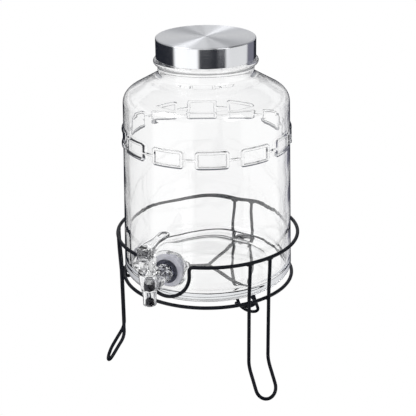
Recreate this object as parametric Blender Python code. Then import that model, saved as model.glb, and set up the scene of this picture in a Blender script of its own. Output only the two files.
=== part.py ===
"""Glass beverage dispenser: a screw-lidded jar with a clear lever tap, on a three-legged wire stand.

Units are metres and +Z is up. Each piece is modelled about the jar's axis, with the tap on the -Y side,
and everything hangs from one empty that stands the footprint's centre on the origin.
"""

import math

import bmesh
import bpy
from mathutils import Matrix, Vector

MM = 0.001
GAP = 0.3 * MM  # clearance between pieces that touch

# Stand
WIRE_R = 2.0 * MM
WIRE_SIDES = 8
WIRE_FLAT = WIRE_R * math.cos(math.pi / WIRE_SIDES)  # from a wire's axis to its flats
UPPER_RING_R = 103.5 * MM
UPPER_RING_Z = 166.2 * MM
LOWER_RING_R = 97.5 * MM
LOWER_RING_Z = 115.0 * MM
NOTCH_HALF_WIDTH = 27.5 * MM
NOTCH_CORNER_R = 4.5 * MM
LEG_ANGLES = {"front_left": -60.0, "front_right": 60.0, "rear": 180.0}  # degrees from the tap
LEG_HALF_WIDTH = 13.3 * MM
LEG_TOP_R = 102.6 * MM
LEG_BEND_R = 101.0 * MM
LEG_BEND_Z = 38.3 * MM
FOOT_R = 122.0 * MM
STAR_Z = LOWER_RING_Z + 0.3 * MM
STAR_HOOK_Z = LOWER_RING_Z - 2 * WIRE_FLAT - GAP

# Jar
JAR_BASE_Z = STAR_Z + WIRE_FLAT + GAP
HEEL_R = 12.0 * MM
BODY_LOW_R = 96.5 * MM
BODY_HIGH_R = 92.0 * MM
BODY_HIGH_Z = 321.0 * MM
SHOULDER_ROUND = 16.0 * MM
SHOULDER_SLOPE = 28.0  # degrees above level
SHOULDER_MID_R = 65.5 * MM
SHOULDER_MID_Z = 345.4 * MM
NECK_R = 52.8 * MM
NECK_Z = 350.5 * MM
BEAD_R = 57.4 * MM
BEAD_Z = 367.4 * MM
BEAD_HALF = 2.4 * MM
FINISH_R = 51.0 * MM
LIP_Z = 386.7 * MM
MOUTH_R = 47.2 * MM
WALL = 3.5 * MM
WALL_LOW = 5.5 * MM  # the wall is thicker towards the base
BASE_THICK = 10.5 * MM
INNER_HEEL_R = 9.0 * MM
PUSH_UP = 3.0 * MM
JAR_SIDES = 48

# Chain of links in relief round the jar
LINKS = 12
LINK_Z = 283.7 * MM
LINK_WIDTH = 35.2 * MM
LINK_HEIGHT = 19.3 * MM
RELIEF_WIDTH = 2.8 * MM
RELIEF_PROUD = 1.7 * MM
BRIDGE_LENGTH = 22.0 * MM

# Screw thread shared by the jar's finish and the lid's liner
THREAD_PITCH = 6.0 * MM
THREAD_HEIGHT = 1.4 * MM
THREAD_ROOT = 2.6 * MM
THREAD_CREST = 1.2 * MM
JAR_THREAD_Z = 374.6 * MM
JAR_THREAD_TURN = 380.0  # degrees
LINER_THREAD_TURN = 300.0
LINER_THREAD_DROP = 2.6 * MM  # the liner's thread runs this far under the jar's

# Lid
LID_R = 54.6 * MM
LID_TOP_Z = 393.2 * MM
LID_BOTTOM_Z = 371.0 * MM
LID_SHEET = 0.6 * MM
LINER_R = LID_R - LID_SHEET - GAP
LINER_BORE_R = 52.9 * MM
LINER_PLATE = 2.2 * MM
SEAL_INNER_R = 46.9 * MM
SEAL_OUTER_R = 52.2 * MM

# Tap
TAP_Z = 157.0 * MM  # height of the hole through the jar's wall
PAD_R = 21.0 * MM
PAD_FRONT = 97.2 * MM  # distance from the jar's axis to the pad's outer face
PAD_BACK = 89.4 * MM
HOLE_R = 8.6 * MM
WASHER_R = 19.0 * MM
FRONT_WASHER = 2.4 * MM
BACK_WASHER = 2.0 * MM
FLANGE_R = 13.6 * MM
FLANGE = 3.0 * MM
SHANK_R = 8.0 * MM
SHANK_END = 72.5 * MM
SHANK_BORE_R = 4.8 * MM
BARREL_R = 9.6 * MM
NUT_ACROSS = 24.0 * MM
NUT_THICK = 7.0 * MM
SPOUT_Y = 139.0 * MM  # distance from the jar's axis to the spout's axis
SPOUT_TOP_Z = 172.0 * MM
SPOUT_END_Z = 134.5 * MM
SPOUT_TAPER_Z = 144.5 * MM
SPOUT_TOP_R = 11.6 * MM
SPOUT_END_R = 7.2 * MM
SPOUT_BORE_R = 4.5 * MM
CHAMBER_R = 7.4 * MM
SEAT_Z = 151.0 * MM
BONNET_R = 10.6 * MM
BONNET_TOP_Z = 176.3 * MM
STEM_R = 2.0 * MM
STEM_HEAD_R = 3.3 * MM
PIN_R = 1.5 * MM
PIN_RUNNING = 0.25 * MM
CAM_R = 9.3 * MM
CAM_FORWARD = 4.5 * MM  # from the pin to the cam's centre
CAM_UP = 2.2 * MM
PIN_Z = BONNET_TOP_Z + CAM_R - CAM_UP + GAP
CHEEK_INSIDE = 3.7 * MM
LEVER_HALF_WIDTH = 7.6 * MM
LEVER_LENGTH = 34.8 * MM  # from the pin to the middle of the paddle's round end
PADDLE_R = 6.0 * MM
PADDLE_WAIST = 4.9 * MM
PADDLE_BASE = 15.5 * MM  # the blade's underside lies this far above the pin
PADDLE_THICK = 3.4 * MM
PADDLE_FRONT = 13.0 * MM  # the blade starts this far in front of the pin
RECESS_R = 3.4 * MM
RECESS_LENGTH = 7.0 * MM
RECESS_DEPTH = 1.8 * MM
PLUG_R = 5.6 * MM
PLUG_FLOOR_Z = SEAT_Z + 6.0 * MM
PLUG_TOP_Z = 160.5 * MM
SPRING_R = 4.3 * MM
SPRING_WIRE_R = 0.4 * MM
SPRING_TURNS = 4

ROUND = 24  # sides on small turned pieces

# The footprint runs from the lever's cam in front to the rear foot, and its middle is the origin.
FRONT_REACH = SPOUT_Y + CAM_FORWARD + CAM_R
REAR_REACH = FOOT_R + WIRE_FLAT
AXIS_Y = (FRONT_REACH - REAR_REACH) / 2


# Scene and materials


def clear_scene():
    for obj in list(bpy.data.objects):
        bpy.data.objects.remove(obj)


def principled(name, colour, roughness, metallic=0.0, transmission=0.0):
    material = bpy.data.materials.new(name)
    material.use_nodes = True
    shader = material.node_tree.nodes["Principled BSDF"]
    shader.inputs["Base Color"].default_value = (*colour, 1.0)
    shader.inputs["Roughness"].default_value = roughness
    shader.inputs["Metallic"].default_value = metallic
    shader.inputs["Transmission Weight"].default_value = transmission
    return material


def make_materials():
    return {
        "black_wire": principled("black_wire", (0.012, 0.013, 0.016), 0.42),
        "glass": principled("glass", (0.98, 0.99, 0.99), 0.02, transmission=1.0),
        "clear_plastic": principled("clear_plastic", (0.97, 0.98, 0.98), 0.06, transmission=1.0),
        "brushed_steel": principled("brushed_steel", (0.62, 0.63, 0.65), 0.28, metallic=1.0),
        "white_plastic": principled("white_plastic", (0.85, 0.85, 0.84), 0.4),
        "silicone": principled("silicone", (0.74, 0.74, 0.78), 0.5),
        "black_rubber": principled("black_rubber", (0.015, 0.015, 0.017), 0.6),
        "spring_steel": principled("spring_steel", (0.7, 0.7, 0.7), 0.25, metallic=1.0),
    }


# Mesh helpers


def add_object(name, mesh, material=None):
    obj = bpy.data.objects.new(name, mesh)
    bpy.context.collection.objects.link(obj)
    if material is not None:
        mesh.materials.append(material)
    return obj


def mesh_object(name, bm, material=None, smooth=True):
    bmesh.ops.recalc_face_normals(bm, faces=bm.faces)
    mesh = bpy.data.meshes.new(name)
    bm.to_mesh(mesh)
    bm.free()
    if smooth:
        mesh.shade_smooth()
        mesh.set_sharp_from_angle(angle=math.radians(35))
    return add_object(name, mesh, material)


def arc(centre, radius, start, end, steps):
    """Points on an arc in the (radius, height) plane. Angles are in degrees."""
    points = []
    for i in range(steps + 1):
        angle = math.radians(start + (end - start) * i / steps)
        points.append((centre[0] + radius * math.cos(angle), centre[1] + radius * math.sin(angle)))
    return points


def turned(bm, profile, sides, closed):
    """Turns a profile of (radius, height) points round Z. A closed profile makes a ring; an open one starts
    and ends on the axis."""
    rings = []
    for radius, height in profile:
        if radius < 1e-7:
            rings.append([bm.verts.new((0, 0, height))])
            continue
        angles = [2 * math.pi * i / sides for i in range(sides)]
        rings.append([bm.verts.new((radius * math.sin(a), -radius * math.cos(a), height)) for a in angles])
    pairs = list(zip(rings, rings[1:]))
    if closed:
        pairs.append((rings[-1], rings[0]))
    for lower, upper in pairs:
        for i in range(sides):
            j = (i + 1) % sides
            corners = [lower[i % len(lower)], lower[j % len(lower)], upper[j % len(upper)], upper[i % len(upper)]]
            bm.faces.new(list(dict.fromkeys(corners)))


def lathe(name, profile, material=None, sides=ROUND, closed=True):
    bm = bmesh.new()
    turned(bm, profile, sides, closed)
    return mesh_object(name, bm, material)


def sweep(bm, path, section, references, cyclic):
    """Runs a section, (across, along reference) points, along a path. references gives each point's 'up'."""
    rings = []
    count = len(path)
    for i, point in enumerate(path):
        before = path[i - 1] if cyclic or i > 0 else path[i]
        after = path[(i + 1) % count] if cyclic or i < count - 1 else path[i]
        tangent = (after - before).normalized()
        up = (references[i] - tangent * references[i].dot(tangent)).normalized()
        side = tangent.cross(up)
        into = (point - before).normalized() if before != point else tangent
        mitre = 1 / max(0.5, into.dot(tangent))
        turn_axis = into.cross(tangent)
        stretch = turn_axis.cross(tangent).normalized() if turn_axis.length > 1e-6 else None
        ring = []
        for across, along in section:
            offset = side * across + up * along
            if stretch is not None:
                offset += stretch * offset.dot(stretch) * (mitre - 1)
            ring.append(bm.verts.new(point + offset))
        rings.append(ring)
    links = count if cyclic else count - 1
    for i in range(links):
        ring, following = rings[i], rings[(i + 1) % count]
        for a in range(len(section)):
            b = (a + 1) % len(section)
            bm.faces.new((ring[a], ring[b], following[b], following[a]))
    if not cyclic:
        bm.faces.new(list(reversed(rings[0])))
        bm.faces.new(rings[-1])


def polygon(radius, sides):
    """A regular polygon with a flat facing each axis."""
    angles = [2 * math.pi * (i + 0.5) / sides for i in range(sides)]
    return [(radius * math.cos(a), radius * math.sin(a)) for a in angles]


def wire(name, path, references, material, cyclic=False, radius=WIRE_R, sides=WIRE_SIDES):
    bm = bmesh.new()
    sweep(bm, path, polygon(radius, sides), references, cyclic)
    return mesh_object(name, bm, material)


def helper(obj):
    """Marks an object as a tool for a Boolean, which isn't part of the dispenser."""
    obj.hide_render = True
    obj.display_type = "WIRE"
    return obj


def boolean(obj, tool, operation):
    modifier = obj.modifiers.new(f"{operation.lower()}_{tool.name}", "BOOLEAN")
    modifier.operation = operation
    modifier.solver = "EXACT"
    modifier.object = helper(tool)


def rod(name, start, end, radius, sides=ROUND):
    """A closed cylinder from one point to another."""
    bm = bmesh.new()
    direction = Vector(end) - Vector(start)
    turn = direction.to_track_quat("Z", "Y").to_matrix().to_4x4()
    middle = Matrix.Translation((Vector(start) + Vector(end)) / 2)
    bmesh.ops.create_cone(
        bm,
        cap_ends=True,
        segments=sides,
        radius1=radius,
        radius2=radius,
        depth=direction.length,
        matrix=middle @ turn,
    )
    return mesh_object(name, bm)


def block(name, low, high):
    bm = bmesh.new()
    size = [b - a for a, b in zip(low, high)]
    middle = [(a + b) / 2 for a, b in zip(low, high)]
    bmesh.ops.create_cube(bm, size=1, matrix=Matrix.Translation(middle) @ Matrix.Diagonal((*size, 1)))
    return mesh_object(name, bm, smooth=False)


def around(radius, angle, height):
    """A point at an angle, in degrees, from the tap's side, turning towards +X."""
    a = math.radians(angle)
    return Vector((radius * math.sin(a), -radius * math.cos(a), height))


def outward(angle):
    return around(1.0, angle, 0.0)


# Stand


def upper_ring(material):
    """A hoop whose front dips in a U, so that the jar can be lowered in with its tap fitted."""
    flat = []  # (arc length from the tap, height)
    notch_centre_z = UPPER_RING_Z - NOTCH_CORNER_R - 6.4 * MM
    for step in range(13):
        angle = math.radians(-90 + 90 * step / 12)
        flat.append((NOTCH_HALF_WIDTH * math.cos(angle), notch_centre_z + NOTCH_HALF_WIDTH * math.sin(angle)))
    corner = (NOTCH_HALF_WIDTH + NOTCH_CORNER_R, UPPER_RING_Z - NOTCH_CORNER_R)
    flat += arc(corner, NOTCH_CORNER_R, 180, 90, 3)
    start = math.degrees(flat[-1][0] / UPPER_RING_R)
    steps = 25
    angles = [start + (180 - start) * i / steps for i in range(1, steps + 1)]
    right = [(math.degrees(u / UPPER_RING_R), z) for u, z in flat] + [(a, UPPER_RING_Z) for a in angles]
    left = [(-a, z) for a, z in reversed(right[1:-1])]
    loop = right + left
    path = [around(UPPER_RING_R, a, z) for a, z in loop]
    return wire("upper_ring", path, [outward(a) for a, _ in loop], material, cyclic=True)


def lower_ring(material):
    angles = [360 * i / 54 for i in range(54)]
    path = [around(LOWER_RING_R, a, LOWER_RING_Z) for a in angles]
    return wire("lower_ring", path, [outward(a) for a in angles], material, cyclic=True)


def leg(name, angle, material):
    """One wire: down from the upper ring, outside the lower ring, out to a round foot and back up."""
    foot_z = WIRE_FLAT
    lower_r = math.sqrt((LOWER_RING_R + 2 * WIRE_R + GAP) ** 2 - LEG_HALF_WIDTH**2)
    slope = Vector((FOOT_R - LEG_BEND_R, foot_z - LEG_BEND_Z))
    arc_steps = 9  # odd, so that the lowest stretch lies flat on the ground
    shin = slope.length - LEG_HALF_WIDTH * math.cos(math.pi / (2 * arc_steps))
    slope.normalize()
    half = [
        (LEG_TOP_R, LEG_HALF_WIDTH, UPPER_RING_Z - WIRE_FLAT - GAP),
        (lower_r, LEG_HALF_WIDTH, LOWER_RING_Z + 4 * MM),
        (lower_r, LEG_HALF_WIDTH, LOWER_RING_Z - 4 * MM),
        (LEG_BEND_R - 0.1 * MM, LEG_HALF_WIDTH, LEG_BEND_Z + 6 * MM),
        (LEG_BEND_R + 0.5 * MM, LEG_HALF_WIDTH, LEG_BEND_Z + 1.2 * MM),
        (LEG_BEND_R + 2.4 * MM, LEG_HALF_WIDTH, LEG_BEND_Z - 4.2 * MM),
    ]
    for i in range(arc_steps + 1):
        turn = math.pi * i / arc_steps
        along = shin + LEG_HALF_WIDTH * math.sin(turn)
        half.append(
            (
                LEG_BEND_R + slope.x * along,
                LEG_HALF_WIDTH * math.cos(turn),
                LEG_BEND_Z + slope.y * along,
            )
        )
    half += [(r, -t, z) for r, t, z in reversed(half[:6])]
    radial, tangential = outward(angle), outward(angle + 90)
    path = [radial * r + tangential * t + Vector((0, 0, z)) for r, t, z in half]
    return wire(f"{name}_leg", path, [radial] * len(path), material)


def star_arm(name, angle, material):
    """An arm of the star under the jar. It dips beneath the lower ring and hooks along it, for the weld."""
    start = (WIRE_FLAT / 2 + GAP / 2) / math.sin(math.radians(60))
    route = [
        (start, 0.0, STAR_Z),
        (84.0 * MM, 0.6 * MM, STAR_Z),
        (89.5 * MM, 1.4 * MM, STAR_Z - 1.9 * MM),
        (93.6 * MM, 0.4 * MM, STAR_HOOK_Z),
        (96.2 * MM, -3.4 * MM, STAR_HOOK_Z),
        (96.9 * MM, -8.6 * MM, STAR_HOOK_Z),
        (95.4 * MM, -13.2 * MM, STAR_HOOK_Z),
        (91.6 * MM, -15.9 * MM, STAR_HOOK_Z),
        (87.0 * MM, -17.0 * MM, STAR_HOOK_Z),
        (82.6 * MM, -17.6 * MM, STAR_HOOK_Z),
    ]
    radial, tangential = outward(angle), outward(angle + 90)
    path = [radial * r + tangential * t + Vector((0, 0, z)) for r, t, z in route]
    return wire(f"{name}_star_arm", path, [Vector((0, 0, 1))] * len(path), material)


# Jar


def body_radius(height):
    """The jar tapers a little from its heel up to its shoulder."""
    low_z = JAR_BASE_Z + HEEL_R
    share = (height - low_z) / (BODY_HIGH_Z - low_z)
    return BODY_LOW_R + (BODY_HIGH_R - BODY_LOW_R) * share


def inner_radius(height):
    low_z = JAR_BASE_Z + HEEL_R
    share = (height - low_z) / (BODY_HIGH_Z - low_z)
    return body_radius(height) - WALL_LOW + (WALL_LOW - WALL) * share


def shoulder_arc(inset):
    """The round between the body and the sloping shoulder, moved in by the wall's thickness."""
    centre = (BODY_HIGH_R - SHOULDER_ROUND, BODY_HIGH_Z)
    points = arc(centre, SHOULDER_ROUND - inset, 0, 90 - SHOULDER_SLOPE, 5)
    across, down = inset * math.sin(math.radians(SHOULDER_SLOPE)), inset * math.cos(math.radians(SHOULDER_SLOPE))
    return points + [(SHOULDER_MID_R - across, SHOULDER_MID_Z - down)]


def jar_profile():
    heel = arc((BODY_LOW_R - HEEL_R, JAR_BASE_Z + HEEL_R), HEEL_R, -90, 0, 5)
    outer = [(0, JAR_BASE_Z + PUSH_UP), (60 * MM, JAR_BASE_Z + PUSH_UP * 0.6), (76 * MM, JAR_BASE_Z)]
    outer += heel
    outer += [(body_radius(z), z) for z in (200 * MM, 262 * MM)]
    outer += shoulder_arc(0)
    outer += [(NECK_R + 3 * MM, NECK_Z), (NECK_R + 0.8 * MM, NECK_Z + 1.2 * MM), (NECK_R, NECK_Z + 3.4 * MM)]
    outer += [(NECK_R, BEAD_Z - BEAD_HALF)]
    outer += arc((BEAD_R - BEAD_HALF, BEAD_Z), BEAD_HALF, -90, 90, 4)
    outer += [(FINISH_R, BEAD_Z + BEAD_HALF)]
    outer += arc((FINISH_R - 1.2 * MM, LIP_Z - 1.2 * MM), 1.2 * MM, 0, 90, 2)
    inner = arc((MOUTH_R + 1.2 * MM, LIP_Z - 1.2 * MM), 1.2 * MM, 90, 180, 2)
    inner += [(MOUTH_R, BEAD_Z), (NECK_R - WALL, NECK_Z + 6 * MM), (NECK_R - WALL, NECK_Z + 1 * MM)]
    inner += [(NECK_R - WALL + 2.2 * MM, NECK_Z - 3.0 * MM)]
    inner += list(reversed(shoulder_arc(WALL)))
    inner += [(inner_radius(z), z) for z in (262 * MM, 200 * MM)]
    floor_z = JAR_BASE_Z + BASE_THICK
    centre = (BODY_LOW_R - WALL_LOW - INNER_HEEL_R, floor_z + INNER_HEEL_R)
    inner += arc(centre, INNER_HEEL_R, 0, -90, 4)
    inner += [(0, floor_z + PUSH_UP * 0.5)]
    return outer + inner


def thread_ridge(bm, wall_r, crest_r, start_z, turn, first_angle):
    """A helical ridge of trapezoid section whose ends fade into the wall."""
    steps = round(turn / 7.5)
    rings = []
    root_r = wall_r + (0.4 * MM if crest_r < wall_r else -0.4 * MM)
    for i in range(steps + 1):
        angle = first_angle + turn * i / steps
        z = start_z + THREAD_PITCH * turn * i / steps / 360
        fade = min(1.0, (i + 0.2) / 3, (steps - i + 0.2) / 3)
        tip_r = wall_r + (crest_r - wall_r) * fade
        section = [
            (root_r, z - THREAD_ROOT / 2 * fade),
            (tip_r, z - THREAD_CREST / 2 * fade),
            (tip_r, z + THREAD_CREST / 2 * fade),
            (root_r, z + THREAD_ROOT / 2 * fade),
        ]
        rings.append([bm.verts.new(around(r, angle, h)) for r, h in section])
    for ring, following in zip(rings, rings[1:]):
        for a in range(4):
            b = (a + 1) % 4
            bm.faces.new((ring[a], ring[b], following[b], following[a]))
    bm.faces.new(list(reversed(rings[0])))
    bm.faces.new(rings[-1])


def relief_bar(bm, outline, holes, wall_r):
    """Wraps a flat (arc length, height) loop round the jar as a bar of square section."""
    inner_r, outer_r = wall_r - 1.2 * MM, wall_r + RELIEF_PROUD
    loops = []
    for points in (outline, holes):
        for radius in (inner_r, outer_r):
            loops.append([bm.verts.new(around(radius, math.degrees(u / wall_r), z)) for u, z in points])
    outer_in, outer_out, hole_in, hole_out = loops
    count = len(outline)
    for i in range(count):
        j = (i + 1) % count
        bm.faces.new((outer_in[i], outer_in[j], outer_out[j], outer_out[i]))
        bm.faces.new((hole_in[j], hole_in[i], hole_out[i], hole_out[j]))
        bm.faces.new((outer_out[i], outer_out[j], hole_out[j], hole_out[i]))
        bm.faces.new((outer_in[j], outer_in[i], hole_in[i], hole_in[j]))


def link_outline(centre_u, half_width, half_height, chamfer):
    """A rectangle with clipped corners and enough points along its length to follow the jar's curve."""
    steps = 4
    top = [half_width - chamfer - 2 * (half_width - chamfer) * i / steps for i in range(steps + 1)]
    points = [(centre_u + half_width, LINK_Z - half_height + chamfer)]
    points += [(centre_u + half_width, LINK_Z + half_height - chamfer)]
    points += [(centre_u + u, LINK_Z + half_height) for u in top]
    points += [(centre_u - half_width, LINK_Z + half_height - chamfer)]
    points += [(centre_u - half_width, LINK_Z - half_height + chamfer)]
    points += [(centre_u - u, LINK_Z - half_height) for u in top]
    return points


def chain_relief(wall_r):
    bm = bmesh.new()
    pitch = 2 * math.pi * wall_r / LINKS
    inset = RELIEF_WIDTH
    for i in range(LINKS):
        u = pitch * i
        outline = link_outline(u, LINK_WIDTH / 2, LINK_HEIGHT / 2, 1.6 * MM)
        hole = link_outline(u, LINK_WIDTH / 2 - inset, LINK_HEIGHT / 2 - inset, 0.6 * MM)
        relief_bar(bm, outline, hole, wall_r)
    return mesh_object("chain_relief_tool", bm, smooth=False)


def chain_bridges(wall_r):
    """The edge-on links that join the large ones."""
    bm = bmesh.new()
    pitch = 2 * math.pi * wall_r / LINKS
    steps = 4
    for i in range(LINKS):
        middle = pitch * (i + 0.5)
        rings = []
        for k in range(steps + 1):
            share = -1 + 2 * k / steps
            u = middle + share * BRIDGE_LENGTH / 2
            half = RELIEF_WIDTH / 2 * (1 - 0.35 * abs(share))
            proud = RELIEF_PROUD + 0.5 * MM * (1 - abs(share))
            angle = math.degrees(u / wall_r)
            section = [(-1.3 * MM, -half), (proud, -half), (proud, half), (-1.3 * MM, half)]
            rings.append([bm.verts.new(around(wall_r + d, angle, LINK_Z + h)) for d, h in section])
        for ring, following in zip(rings, rings[1:]):
            for a in range(4):
                b = (a + 1) % 4
                bm.faces.new((ring[a], ring[b], following[b], following[a]))
        bm.faces.new(list(reversed(rings[0])))
        bm.faces.new(rings[-1])
    return mesh_object("chain_bridge_tool", bm, smooth=False)


def jar(material):
    obj = lathe("jar", jar_profile(), material, sides=JAR_SIDES, closed=False)
    pad = rod("tap_pad_tool", (0, -PAD_BACK, TAP_Z), (0, -PAD_FRONT, TAP_Z), PAD_R, sides=28)
    boolean(obj, pad, "UNION")
    hole = rod("tap_hole_tool", (0, -PAD_BACK + 20 * MM, TAP_Z), (0, -PAD_FRONT - 20 * MM, TAP_Z), HOLE_R)
    boolean(obj, hole, "DIFFERENCE")
    wall_r = body_radius(LINK_Z)
    boolean(obj, chain_relief(wall_r), "UNION")
    boolean(obj, chain_bridges(wall_r), "UNION")
    bm = bmesh.new()
    thread_ridge(bm, FINISH_R, FINISH_R + THREAD_HEIGHT, JAR_THREAD_Z, JAR_THREAD_TURN, 0)
    boolean(obj, mesh_object("jar_thread_tool", bm), "UNION")
    return obj


# Lid


def lid_shell(material):
    edge = 1.6 * MM
    inner_r = LID_R - LID_SHEET
    profile = [(0, LID_TOP_Z)] + arc((LID_R - edge, LID_TOP_Z - edge), edge, 90, 0, 4)
    profile += [(LID_R, LID_BOTTOM_Z + 0.5 * MM), (LID_R - 0.3 * MM, LID_BOTTOM_Z), (inner_r, LID_BOTTOM_Z)]
    inner_edge = arc((LID_R - edge, LID_TOP_Z - edge), edge - LID_SHEET, 0, 90, 3)
    profile += inner_edge + [(0, LID_TOP_Z - LID_SHEET)]
    return lathe("lid_shell", profile, material, sides=JAR_SIDES, closed=False)


def lid_liner(material):
    top = LID_TOP_Z - LID_SHEET - GAP
    under = top - LINER_PLATE
    bottom = LID_BOTTOM_Z + 0.5 * MM
    edge = 1.5 * MM
    profile = [(0, top), (LINER_R - edge, top), (LINER_R, top - edge), (LINER_R, bottom)]
    profile += [(LINER_BORE_R, bottom), (LINER_BORE_R, under), (0, under)]
    obj = lathe("lid_liner", profile, material, sides=JAR_SIDES, closed=False)
    bm = bmesh.new()
    crest_r = FINISH_R + 0.45 * MM
    start_z = JAR_THREAD_Z - LINER_THREAD_DROP
    thread_ridge(bm, LINER_BORE_R, crest_r, start_z + 1.2 * MM, LINER_THREAD_TURN, 72)
    boolean(obj, mesh_object("liner_thread_tool", bm), "UNION")
    return obj


def lid_seal(material):
    low = LIP_Z + GAP
    high = LID_TOP_Z - LID_SHEET - LINER_PLATE - 2 * GAP
    profile = [(SEAL_INNER_R, low), (SEAL_OUTER_R, low), (SEAL_OUTER_R, high), (SEAL_INNER_R, high)]
    return lathe("lid_seal", profile, material, sides=JAR_SIDES)


# Tap


def tap_ring(name, inner_r, outer_r, front, back, material):
    """A washer round the tap's shank, between two distances from the jar's axis."""
    ring = lathe(name, [(inner_r, front), (outer_r, front), (outer_r, back), (inner_r, back)], material, sides=28)
    ring.data.transform(Matrix.Rotation(math.radians(90), 4, "X"))
    ring.data.transform(Matrix.Translation((0, 0, TAP_Z)))
    return ring


def tap_nut(material):
    """A hexagon nut inside the jar, with a round collar against the washer."""
    back = PAD_BACK - GAP - BACK_WASHER - GAP
    obj = rod("tap_nut", (0, -back, TAP_Z), (0, -back + NUT_THICK, TAP_Z), NUT_ACROSS / math.sqrt(3), sides=6)
    obj.data.materials.append(material)
    bore = rod("nut_bore_tool", (0, -back - MM, TAP_Z), (0, -back + NUT_THICK + MM, TAP_Z), SHANK_R + GAP)
    boolean(obj, bore, "DIFFERENCE")
    return obj


def tap_body(material):
    """The clear moulding: a tapered spout with a valve chamber, a barrel, a flange and a threaded shank."""
    flange_front = PAD_FRONT + GAP + FRONT_WASHER + GAP + FLANGE
    flange_back = flange_front - FLANGE
    spout = [(0, SPOUT_END_Z), (SPOUT_END_R, SPOUT_END_Z), (SPOUT_END_R, SPOUT_TAPER_Z)]
    spout += [(SPOUT_TOP_R, 169.5 * MM), (SPOUT_TOP_R, SPOUT_TOP_Z), (0, SPOUT_TOP_Z)]
    obj = lathe("tap_body", spout, material, closed=False)
    obj.data.transform(Matrix.Translation((0, -SPOUT_Y, 0)))
    barrel = rod("barrel_tool", (0, -SPOUT_Y + 3 * MM, TAP_Z), (0, -flange_front + MM, TAP_Z), BARREL_R, sides=26)
    flange = rod("flange_tool", (0, -flange_front, TAP_Z), (0, -flange_back, TAP_Z), FLANGE_R, sides=28)
    shank = rod("shank_tool", (0, -flange_back - MM, TAP_Z), (0, -SHANK_END, TAP_Z), SHANK_R)
    for tool in (barrel, flange, shank):
        boolean(obj, tool, "UNION")
    bore = rod("shank_bore_tool", (0, -SPOUT_Y + 4 * MM, TAP_Z), (0, -SHANK_END + MM, TAP_Z), SHANK_BORE_R)
    boolean(obj, bore, "DIFFERENCE")
    chamber = [(0, SPOUT_END_Z - MM), (SPOUT_BORE_R, SPOUT_END_Z - MM), (SPOUT_BORE_R, SEAT_Z)]
    chamber += [(CHAMBER_R, SEAT_Z + 2.4 * MM), (CHAMBER_R, SPOUT_TOP_Z + MM), (0, SPOUT_TOP_Z + MM)]
    hollow = lathe("chamber_tool", chamber, closed=False)
    hollow.data.transform(Matrix.Translation((0, -SPOUT_Y, 0)))
    boolean(obj, hollow, "DIFFERENCE")
    return obj


def tap_bonnet(material):
    """The cap over the valve chamber. Its spigot drops into the chamber and holds the stem's O-ring."""
    spigot_r = CHAMBER_R - GAP
    bore_r = STEM_R + PIN_RUNNING
    groove_r = 4.3 * MM
    low = SPOUT_TOP_Z - 4.5 * MM
    profile = [(bore_r, low + 2.3 * MM), (groove_r, low + 2.3 * MM), (groove_r, low), (spigot_r, low)]
    profile += [(spigot_r, SPOUT_TOP_Z + GAP), (BONNET_R, SPOUT_TOP_Z + GAP), (BONNET_R, BONNET_TOP_Z - MM)]
    profile += [(BONNET_R - MM, BONNET_TOP_Z), (bore_r, BONNET_TOP_Z)]
    obj = lathe("tap_bonnet", profile, material)
    obj.data.transform(Matrix.Translation((0, -SPOUT_Y, 0)))
    return obj


def stem_o_ring(material):
    low = SPOUT_TOP_Z - 4.5 * MM + GAP
    section = arc((3.15 * MM, low + 0.85 * MM), 0.8 * MM, 0, 315, 7)
    obj = lathe("stem_o_ring", section, material, sides=16)
    obj.data.transform(Matrix.Translation((0, -SPOUT_Y, 0)))
    return obj


def valve_stem(material):
    """The stem, with a flange over the plug and a head that the lever's pin runs through."""
    collar_z = PLUG_FLOOR_Z + GAP
    head_z = PIN_Z - 4.2 * MM
    profile = [(0, SEAT_Z + 3.2 * MM), (STEM_R, SEAT_Z + 3.2 * MM), (STEM_R, collar_z)]
    profile += [(3.5 * MM, collar_z), (3.5 * MM, collar_z + 1.2 * MM), (STEM_R, collar_z + 1.2 * MM)]
    profile += [(STEM_R, head_z - MM), (STEM_HEAD_R, head_z), (STEM_HEAD_R, PIN_Z + 3.0 * MM)]
    profile += [(STEM_HEAD_R - MM, PIN_Z + 4.0 * MM), (0, PIN_Z + 4.0 * MM)]
    obj = lathe("valve_stem", profile, material, sides=16, closed=False)
    obj.data.transform(Matrix.Translation((0, -SPOUT_Y, 0)))
    reach = STEM_HEAD_R + MM
    hole = rod("stem_hole_tool", (-reach, -SPOUT_Y, PIN_Z), (reach, -SPOUT_Y, PIN_Z), PIN_R + PIN_RUNNING, 12)
    boolean(obj, hole, "DIFFERENCE")
    return obj


def valve_plug(material):
    """The soft cup that closes the seat. It is pushed over the stem's end, and the spring stands in it."""
    bore_r = STEM_R + 0.2 * MM
    low = SEAT_Z + 0.45 * MM
    profile = [(0, low - 1.2 * MM), (SPOUT_BORE_R - GAP, low - 1.2 * MM), (SPOUT_BORE_R - GAP, low)]
    profile += [(PLUG_R, low + 1.6 * MM), (PLUG_R, PLUG_TOP_Z), (PLUG_R - 0.7 * MM, PLUG_TOP_Z)]
    profile += [(PLUG_R - 0.7 * MM, PLUG_FLOOR_Z), (bore_r, PLUG_FLOOR_Z), (bore_r, SEAT_Z + 2.9 * MM)]
    profile += [(0, SEAT_Z + 2.9 * MM)]
    obj = lathe("valve_plug", profile, material, sides=20, closed=False)
    obj.data.transform(Matrix.Translation((0, -SPOUT_Y, 0)))
    return obj


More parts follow.
